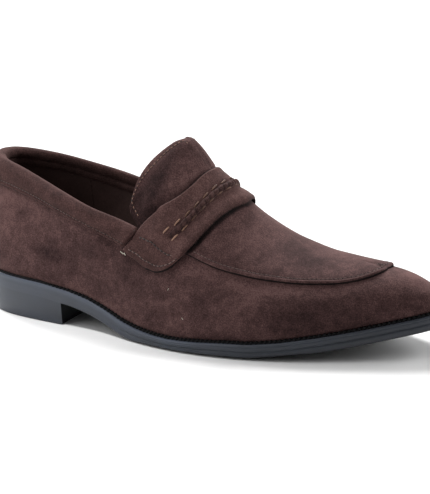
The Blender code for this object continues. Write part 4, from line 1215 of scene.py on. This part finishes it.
def make_strap():
    flat = np.sort(np.concatenate([np.linspace(0, 0.99, 61), [0.005, 0.011, 0.022, 0.975]]))
    curl = np.linspace(0, 1, 13)[1:]
    steps = np.linspace(0, 1, len(STRAP_FRONT) + 1)
    curled_across, curled_height = (rising(steps, c, curl) for c in zip(STRAP_SECTION[-1], *STRAP_FRONT))
    across = np.concatenate([flat, curled_across])[None, :]
    share = np.concatenate([[0, 0.004, 0.011, 0.022], np.linspace(0.035, 1, 110)])[:, None]
    end = 0.55 + 0.45 * rounded(share / STRAP_EDGE_ROUND)
    fall = np.concatenate([np.ones(flat.shape), curled_height / STRAP_SECTION[-1][1]])[None, :]
    open_front = smooth(share / 0.2) * (1 - ease(share, 0.60, 0.3)) * ease(across, 0.80, 0.15)
    height = strap_height(across, share) * fall * end + STRAP_OPEN_FRONT * open_front * (fall > 0)
    # The underside reaches past the top along the back edge and round the end, so that the dark rim shows
    # there as a painted shadow line under the strap.
    foot = np.minimum(across - 0.02 * np.exp(-across / 0.01), STRAP_FRONT[-1][0])
    foot_share = share - 0.018 * np.exp(-share / 0.012)
    # Painted light on the strap's top: a highlight along the back edge, which is also a pale cut edge, a
    # highlight on the front fold's crest, and painted shade where the fold curls under.
    pale_edge_and_highlight = 0.50 * (1 - smooth(across / STRAP_EDGE_ROUND))
    painted_crest_highlight = 0.14 * bell(across, 0.74, 0.07)
    painted_fold_shade = -1.40 * fade(fall, 1, 0.22) - 0.15 * ease(across, 0.90, 0.1)

    def pair(side):
        over = strap_point(side, across, share, height)
        under = strap_point(side, foot, foot_share, -FACET_GAP * 0.6)
        return over, under, pale_edge_and_highlight + painted_crest_highlight + painted_fold_shade

    shell("saddle_strap_suede", pair, [SUEDE_STRAP, SUEDE_INSIDE, DARK_EDGE_AND_SHADOW], ["saddle_strap"])


# The ruched seam's crown over the strap and the depth of its slanting pinches, in millimetres, and where
# its first hand stitch lies
ROLL_FOOT, ROLL_CROWN, ROLL_PINCH, ROLL_SUNK = 0.25, 1.75, 0.45, 0.4
SEWN_FIRST, SEWN_HEIGHT, SEWN_LAST, SEWN_AHEAD = 0.330, 0.10 * MM, 0.002, 0.002
# The two rows of hand stitches: how far from the seam's middle, and how much each stitch slants
HAND_ROWS = ((-0.108, -0.06), (0.066, -0.02))
TAN_STITCHES = 2


def roll_length(side):
    """The rolled seam's shares and how far each lies from its low end, in metres."""
    share = np.linspace(ROLL_START, 1, 200)
    return share, walk(strap_point(side, roll_middle(share), share, 2 * MM))


def make_strap_roll():
    turn = np.linspace(-1, 1, 19)[None, :]
    arch = np.cos(turn * np.pi / 2) ** 0.8

    def pair(side):
        shares, length = roll_length(side)
        at = np.linspace(0, length[-1], 150)
        share = np.interp(at, length, shares)[:, None]
        phase = (at - np.interp(SEWN_FIRST, shares, length))[:, None] / HAND_STITCH.pitch
        pinch = 0.5 + 0.5 * np.cos(2 * np.pi * phase)
        slant = (0.5 + 0.5 * np.cos(2 * np.pi * (2 * phase + 0.35 * turn))) ** 2
        grown = ease(share, ROLL_START, 0.20)
        width = 0.80 * ROLL_HALF_WIDTH * (1 - 0.18 * pinch) * (0.55 + 0.45 * grown)
        across = roll_middle(share) + width * np.sin(turn * np.pi / 2)
        base = strap_height(across, share)
        crown = ROLL_FOOT + (ROLL_CROWN * (0.25 + 0.75 * grown) - ROLL_PINCH * slant * grown) * arch
        over = strap_point(side, across, share, base + crown * MM)
        under = strap_point(side, across, share, base - ROLL_SUNK * MM)
        # Painted shade in the roll's slanting pinches and down its sides, on a roll a little darker all over.
        return over, under, -0.30 * slant - 0.10 - 0.1 * np.abs(turn)

    shell("strap_ruched_seam", pair, [SUEDE_STRAP, SUEDE_INSIDE], ["strap_ridge"])


def make_hand_stitches():
    for side, label in SIDES.items():
        shares, length = roll_length(side)
        at = np.arange(np.interp(SEWN_FIRST, shares, length), length[-1] - SEWN_LAST, HAND_STITCH.pitch)
        share, ahead_share = (np.interp(at + more, length, shares) for more in (0, SEWN_AHEAD))
        rows = []
        for row, slant in HAND_ROWS:
            here, up = strap_line(side, roll_middle(share) + row, share, SEWN_HEIGHT)
            ahead_across = roll_middle(ahead_share) + row + slant * 0.2
            ahead, _ = strap_line(side, ahead_across, ahead_share, SEWN_HEIGHT)
            rows.append((here, unit(ahead - here), up))
        places = [np.concatenate(column) for column in zip(*rows)]
        low = np.tile(np.arange(len(at)) < TAN_STITCHES, len(HAND_ROWS))
        for name, keep, thread in (("low", low, THREAD_TAN), ("high", ~low, THREAD_BROWN)):
            some = [column[keep] for column in places]
            stitches(f"strap_hand_stitches_{name}_{label}", some, HAND_STITCH, thread, sides=10)


def make_strap_stitches():
    for side, label in SIDES.items():
        across = np.linspace(0.10, 0.76, 120)
        line = strap_line(side, across, cross_seam(across), 0.12 * MM)
        sewn, dots = spaced(*line, CROSS_STITCH.pitch), spaced(*line, CROSS_DOT.pitch, first=1.0)
        stitches("strap_cross_stitches_" + label, sewn, CROSS_STITCH, THREAD_DARK)
        stitches("strap_cross_dots_" + label, dots, CROSS_DOT, THREAD_PALE)
        across = np.linspace(0.05, 0.90, 160)
        line = strap_line(side, across, np.full(across.shape, 0.040), 0.05 * MM)
        sewn_row("strap_edge_stitches_" + label, line, STRAP_STITCH, THREAD_PALE)


# The side of the sole: depth below its top as a share of its thickness, how far it is drawn in, how
# deep the forefoot's grooves are there and how far the lower edge is rounded off, in millimetres.
# Under the ball the edge is rounder, so that it leaves a dark line on the floor.
SOLE_SIDE = named_rows(
    "depth drawn_in groove edge ball_depth ball_edge",
    (0.000, 1.10, 0.00, 0.00, 0.000, 0.00), (0.020, 0.55, 0.00, 0.00, 0.020, 0.00),
    (0.050, 0.22, 0.00, 0.00, 0.050, 0.00), (0.095, 0.04, 0.00, 0.00, 0.095, 0.00),
    (0.150, 0.00, 0.00, 0.00, 0.150, 0.00), (0.190, 0.00, 0.14, 0.00, 0.190, 0.00),
    (0.230, 0.00, 0.00, 0.00, 0.230, 0.00), (0.340, 0.00, 0.00, 0.00, 0.340, 0.00),
    (0.440, 0.00, 0.00, 0.00, 0.440, 0.00), (0.465, 0.00, 0.24, 0.00, 0.465, 0.00),
    (0.490, 0.00, 0.38, 0.00, 0.490, 0.00), (0.515, 0.00, 0.38, 0.00, 0.515, 0.00),
    (0.540, 0.02, 0.20, 0.00, 0.540, 0.00), (0.570, 0.05, 0.00, 0.00, 0.570, 0.00),
    (0.720, 0.10, 0.00, 0.00, 0.720, 0.00), (0.880, 0.15, 0.00, 0.00, 0.800, 0.00),
    (0.945, 0.18, 0.00, 0.05, 0.830, 0.10), (0.965, 0.18, 0.00, 0.20, 0.850, 0.45),
    (0.988, 0.20, 0.00, 0.50, 0.890, 1.50), (1.000, 0.20, 0.00, 1.00, 1.000, 4.50),
)
GROOVE_STARTS, BALL_FROM, BALL_TO, SIDE_EASE = 0.36, 0.40, 0.72, 0.06
# The shares of the way in, from a ring to its middle line, that close the sole and the insole
CAP_SHARES = np.linspace(0, 1, 15)[1:]
# The insole's edge: how far it is drawn in, in millimetres, and its height as a share
INSOLE_SIDE = ((0.0, 0.0), (0.0, 0.8), (0.12, 0.94), (0.4, 1.0))
SHARP_EDGE = 40


def plan_ring(along, inset, height):
    """Both sides of an inset outline, lifted to a height that is a function of x."""
    halves = []
    for side in SIDES:
        plan = inset_edge(side, along, inset[side])
        halves.append(np.column_stack([plan, height(plan[:, 0])]))
    middle = [(halves[0][i] + halves[1][i]) / 2 for i in (0, -1)]
    for half in halves:
        half[0], half[-1] = middle
    return np.stack(halves)


def filled(ring):
    middle = (ring[0] + ring[1]) / 2
    return [ring + (middle - ring) * share for share in CAP_SHARES]


def stack(name, rings, material, node, tone=None):
    """A closed solid from rings that lie over each other."""
    grid = np.stack(filled(rings[0])[::-1] + rings + filled(rings[-1]), axis=1)
    points = grid.reshape(-1, 3)
    first, faces = welded(points, grid.shape[1:3])
    points = points[first]
    tone = None if tone is None else np.concatenate([tone.ravel()] * 2)[first]
    add_piece(name, points, outward(points, faces), [material], [node], tone=tone, sharp=SHARP_EDGE)


def make_outsole():
    along = stations(260)
    grooved = ease(along, GROOVE_STARTS, SIDE_EASE)
    ball = ease(along, BALL_FROM, SIDE_EASE) * (1 - ease(along, BALL_TO, SIDE_EASE))
    before_breast = {side: ease(along, BREAST[side], 0.02) for side in SIDES}
    rings = []
    for step in SOLE_SIDE:
        edge = step.edge + (step.ball_edge - step.edge) * ball
        deep = step.depth + (step.ball_depth - step.depth) * ball
        drawn_in = step.drawn_in + step.groove * grooved
        inset = {side: (drawn_in + edge * before_breast[side]) * MM for side in SIDES}
        rings.append(plan_ring(along, inset, lambda x, d=deep: sole_top(x) * (1 - d) + sole_foot(x) * d))
    caps = len(CAP_SHARES)
    depth = np.array([0.0] * caps + [step.depth for step in SOLE_SIDE] + [1.0] * caps)[:, None]
    # Painted light on the sole's side: a highlight along its top band, shade along its lower edge, and shade
    # growing towards the toe.
    painted_top_highlight = 0.42 * (1 - ease(depth, 0.10, 0.30)) * (1 - 0.8 * ease(along, 0.54, 0.12))
    painted_foot_shade = -0.60 * ease(depth, 0.93, 0.04) * ease(along, 0.25, 0.03)
    tone = painted_top_highlight + painted_foot_shade - 0.30 * ease(along, 0.40, 0.35)
    stack("outsole_rubber", rings, RUBBER, "outsole", tone)


def make_insole():
    along = stations(200)
    inset = edge_width(along) * WELT_SHARE_OF_EDGE + WELT_WIDTH + GAP
    rings = []
    for extra, height in INSOLE_SIDE:
        both = dict.fromkeys(SIDES, inset + extra * MM)
        rings.append(plan_ring(along, both, lambda x, h=height: sole_top(x) + GAP + h * INSOLE_THICKNESS))
    stack("insole_sock", rings, LINING, "insole")


# The welt's section, in millimetres: how far in and how high each corner lies. Its notches are cut into
# the corners near the edge, from behind the heel's breast on, and it is thinner round the heel.
WELT_SECTION = ((0, -0.3), (0, 0.62), (0.12, 0.88), (0.4, 1.0), (1.0, 1.02), (4.5, 1.0), (4.5, -0.3))
NOTCH_PITCH, NOTCH_IN, NOTCH_DOWN, NOTCHED_FROM, NOTCH_REACH = 0.0027, 0.45, 0.80, 0.215, 2


def make_welt():
    even = np.linspace(0, 1, 2600)
    out = edge_width(even) * WELT_SHARE_OF_EDGE
    thinner = 0.62 + 0.55 * ease(even, 0.20, 0.10)
    halves = []
    for side in SIDES:
        notch = 0.5 + 0.5 * np.cos(2 * np.pi * walk(edge_point(side, even)) / NOTCH_PITCH)
        tooth = smooth(notch * 1.5 - 0.1) * ease(even, NOTCHED_FROM, 0.02)
        corners = []
        for inset, lift in WELT_SECTION:
            cut = tooth * (inset < NOTCH_REACH)
            plan = inset_edge(side, even, out + inset * MM + NOTCH_IN * MM * cut)
            height = (lift * thinner - NOTCH_DOWN * cut if lift > 0 else lift) * MM
            corners.append(np.column_stack([plan, sole_top(plan[:, 0]) + GAP + height]))
        halves.append(np.stack(corners, axis=1))
    for end in (0, -1):
        halves[0][end] = halves[1][end] = (halves[0][end] + halves[1][end]) / 2
    rings = np.concatenate([halves[0], halves[1][-2:0:-1]])
    sweep("welt_notched", rings, [WELTING], ["welt"], capped=False)


HEEL_INSET, HEEL_TAPER_SIDE, HEEL_TAPER_BACK, HEEL_BREAST_HOLLOW = 0.0002, 0.0006, 0.0020, 0.0025
# The heel from its seat to the floor: level, and how far it is drawn in there, in millimetres
HEEL_SIDE = ((1.0, 0.0), (0.75, 0.0), (0.5, 0.0), (0.25, 0.0), (0.10, 0.0),
             (0.045, 0.03), (0.02, 0.12), (0.006, 0.3), (0.0, 0.6))
HEEL_SEATED, HEEL_TONE = 0.02 * MM, -0.15


def make_heel():
    share, fan = stations(90), np.linspace(0, 1, 41)
    loops = []
    for level, drawn in HEEL_SIDE:
        halves = []
        for side in SIDES:
            inset = HEEL_INSET + HEEL_TAPER_SIDE * (1 - level) + drawn * MM
            plan = inset_edge(side, share * BREAST[side], inset)
            plan[:, 0] += HEEL_TAPER_BACK * (1 - level) * (1 - smooth(plan[:, 0] / HEEL_LENGTH))
            plan[:, 0] -= drawn * MM * smooth(plan[:, 0] / HEEL_LENGTH)
            top = sole_underside(plan[:, 0]) + HEEL_SEATED
            halves.append(np.column_stack([plan, top * level]))
        halves[1][0] = halves[0][0] = (halves[0][0] + halves[1][0]) / 2
        start, end = halves[0][-1], halves[1][-1]
        breast = start + (end - start) * fan[:, None]
        breast[:, 0] -= HEEL_BREAST_HOLLOW * (1 - (2 * fan - 1) ** 2)
        loops.append(np.vstack([halves[0], breast[1:-1], halves[1][:0:-1]]))
    rings = np.stack(loops)
    # The breast's faces take the darker rubber, a painted shade.
    front = np.zeros(rings.shape[1], int)
    front[len(share) - 1 : len(share) + len(fan) - 2] = 1
    materials = [RUBBER, RUBBER_SHADED]
    sweep("heel_rubber", rings, materials, ["heel"], front, HEEL_TONE, sharp=SHARP_EDGE)


# Where the pale thread end runs, where the specks of lint lie and how each points, and the lining's seam
THREAD_END_LINE = ((0.393, 0.490), (0.396, 0.474), (0.400, 0.452), (0.402, 0.452), (0.405, 0.434))
LINT_PLACES = named_rows("along up turn", (0.504, 0.246, 0.010), (0.538, 0.118, -0.004))
LINING_SEAM_ALONG, LINING_SEAM_UP = 0.205, np.linspace(0.12, 0.86, 60)


def make_small_things():
    """A pale thread end at the strap's sewn corner, two specks of lint, and a seam in the lining."""
    along, up = np.array(THREAD_END_LINE).T
    line = skin(OUTER, along, up, 0.5 * MM), last_normal(OUTER, along, up)
    stitches("thread_end", spaced(*line, THREAD_END.pitch), THREAD_END, THREAD_WHITE, rise=1.0)
    along, up, turn = np.array(LINT_PLACES).T
    run = unit(last_point(OUTER, along + 0.001, up + turn) - last_point(OUTER, along, up))
    places = skin(OUTER, along, up, 0.1 * MM), run, last_normal(OUTER, along, up)
    stitches("lint", places, LINT, THREAD_WHITE, rise=0.9)
    line = skin(INNER, LINING_SEAM_ALONG, LINING_SEAM_UP, -UPPER_WALL - 0.02 * MM)
    places = spaced(line, -last_normal(INNER, LINING_SEAM_ALONG, LINING_SEAM_UP), LINING_STITCH.pitch)
    stitches("lining_seam", places, LINING_STITCH, LINING)


# Stage

FLOOR_SIZE, FLOOR_SUNK, FLOOR_COLOUR = 6.0, 0.0002, (0.74, 0.74, 0.74, 1.0)
# The room is brighter towards this side, behind and to the left of the shoe
BRIGHT_SIDE, ROOM_LIGHT, BRIGHT_SIDE_LIGHT = (-0.62, 0.36, 0.70), 0.27, 0.24
SPOT_ANGLE, SPOT_RADIUS = 28, 0.10


def make_floor():
    mesh = bpy.data.meshes.new("floor")
    corners = [(x * FLOOR_SIZE, y * FLOOR_SIZE, 0) for x, y in ((-1, -1), (1, -1), (1, 1), (-1, 1))]
    mesh.from_pydata(corners, [], [(0, 1, 2, 3)])
    n = Nodes("pale_floor")
    n.set(Base_Color=FLOOR_COLOUR, Roughness=0.9, Specular_IOR_Level=0.1)
    mesh.materials.append(n.material)
    obj = bpy.data.objects.new("floor", mesh)
    obj.location.z = -FLOOR_SUNK
    show(obj)


def add_light(name, kind, strength, direction):
    """A lamp that shines in a direction."""
    light = bpy.data.lights.new(name, kind)
    light.energy = strength
    obj = bpy.data.objects.new(name, light)
    obj.rotation_mode = "QUATERNION"
    obj.rotation_quaternion = direction.to_track_quat("-Z", "Y")
    show(obj)
    return light, obj


def add_sun(name, towards, strength, angle):
    """A soft light from far off, given by the direction it comes from."""
    light, _ = add_light(name, "SUN", strength, -Vector(towards))
    light.angle = np.radians(angle)


def add_spot(name, place, target, power):
    """A soft lamp near the shoe: where it stands, and the spot that it points at."""
    light, obj = add_light(name, "SPOT", power, Vector(target) - Vector(place))
    light.spot_size, light.spot_blend, light.shadow_soft_size = np.radians(SPOT_ANGLE), 1.0, SPOT_RADIUS
    obj.location = place


def make_lights():
    world = bpy.data.worlds.new("studio")
    world.use_nodes = True
    nodes, links = world.node_tree.nodes, world.node_tree.links
    coords, dot = nodes.new("ShaderNodeTexCoord"), nodes.new("ShaderNodeVectorMath")
    dot.operation = "DOT_PRODUCT"
    dot.inputs[1].default_value = BRIGHT_SIDE
    links.new(coords.outputs["Generated"], dot.inputs[0])
    strength = nodes.new("ShaderNodeMath")
    strength.operation = "MULTIPLY_ADD"
    strength.inputs[1].default_value, strength.inputs[2].default_value = BRIGHT_SIDE_LIGHT, ROOM_LIGHT
    links.new(dot.outputs["Value"], strength.inputs[0])
    links.new(strength.outputs[0], nodes["Background"].inputs["Strength"])
    nodes["Background"].inputs["Color"].default_value = (1, 1, 1, 1)
    bpy.context.scene.world = world
    add_sun("left_key", (-0.54, 0.44, 0.72), 5.0, 26)
    add_sun("left_fill", (-0.66, -0.58, 0.48), 0.8, 50)
    add_sun("back_rim", (0.64, 0.60, 0.48), 2.2, 40)
    add_spot("heel_fill", (-0.11, -0.19, 0.78), (-0.10, -0.10, 0.0), 25.0)


# The camera, fitted to the photo: angles in degrees, distance and target in metres
AZIMUTH, ELEVATION, ROLL, DISTANCE = 30.5, 15.0, -2.0, 1.250
FOCAL_PIXELS, PICTURE_HEIGHT, SENSOR_MM = 2210.9, 494, 36.0
TARGET = (0.1505, 0.0, 0.0460)


def make_camera():
    a, e, r = (np.radians(v) for v in (AZIMUTH, ELEVATION, ROLL))
    back = np.array([np.sin(a) * np.cos(e), -np.cos(a) * np.cos(e), np.sin(e)])
    right = np.array([np.cos(a), np.sin(a), 0.0])
    up = np.cross(back, right)
    right, up = right * np.cos(r) + up * np.sin(r), -right * np.sin(r) + up * np.cos(r)
    data = bpy.data.cameras.new("camera")
    data.sensor_fit, data.sensor_width = "AUTO", SENSOR_MM
    data.lens = FOCAL_PIXELS * SENSOR_MM / PICTURE_HEIGHT
    data.clip_start, data.clip_end = 0.05, 30
    camera = bpy.data.objects.new("camera", data)
    matrix = np.eye(4)
    matrix[:3] = np.column_stack([right, up, back, np.array(TARGET) + SHIFT + back * DISTANCE])
    camera.matrix_world = Matrix(matrix.tolist())
    show(camera)
    bpy.context.scene.camera = camera


make_camera()
make_upper()
make_collar()
make_apron()
make_tongue()
make_strap()
make_strap_roll()
make_hand_stitches()
make_strap_stitches()
make_outsole()
make_heel()
make_welt()
make_insole()
make_small_things()
make_floor()
make_lights()
bpy.context.scene.view_settings.view_transform = "Standard"
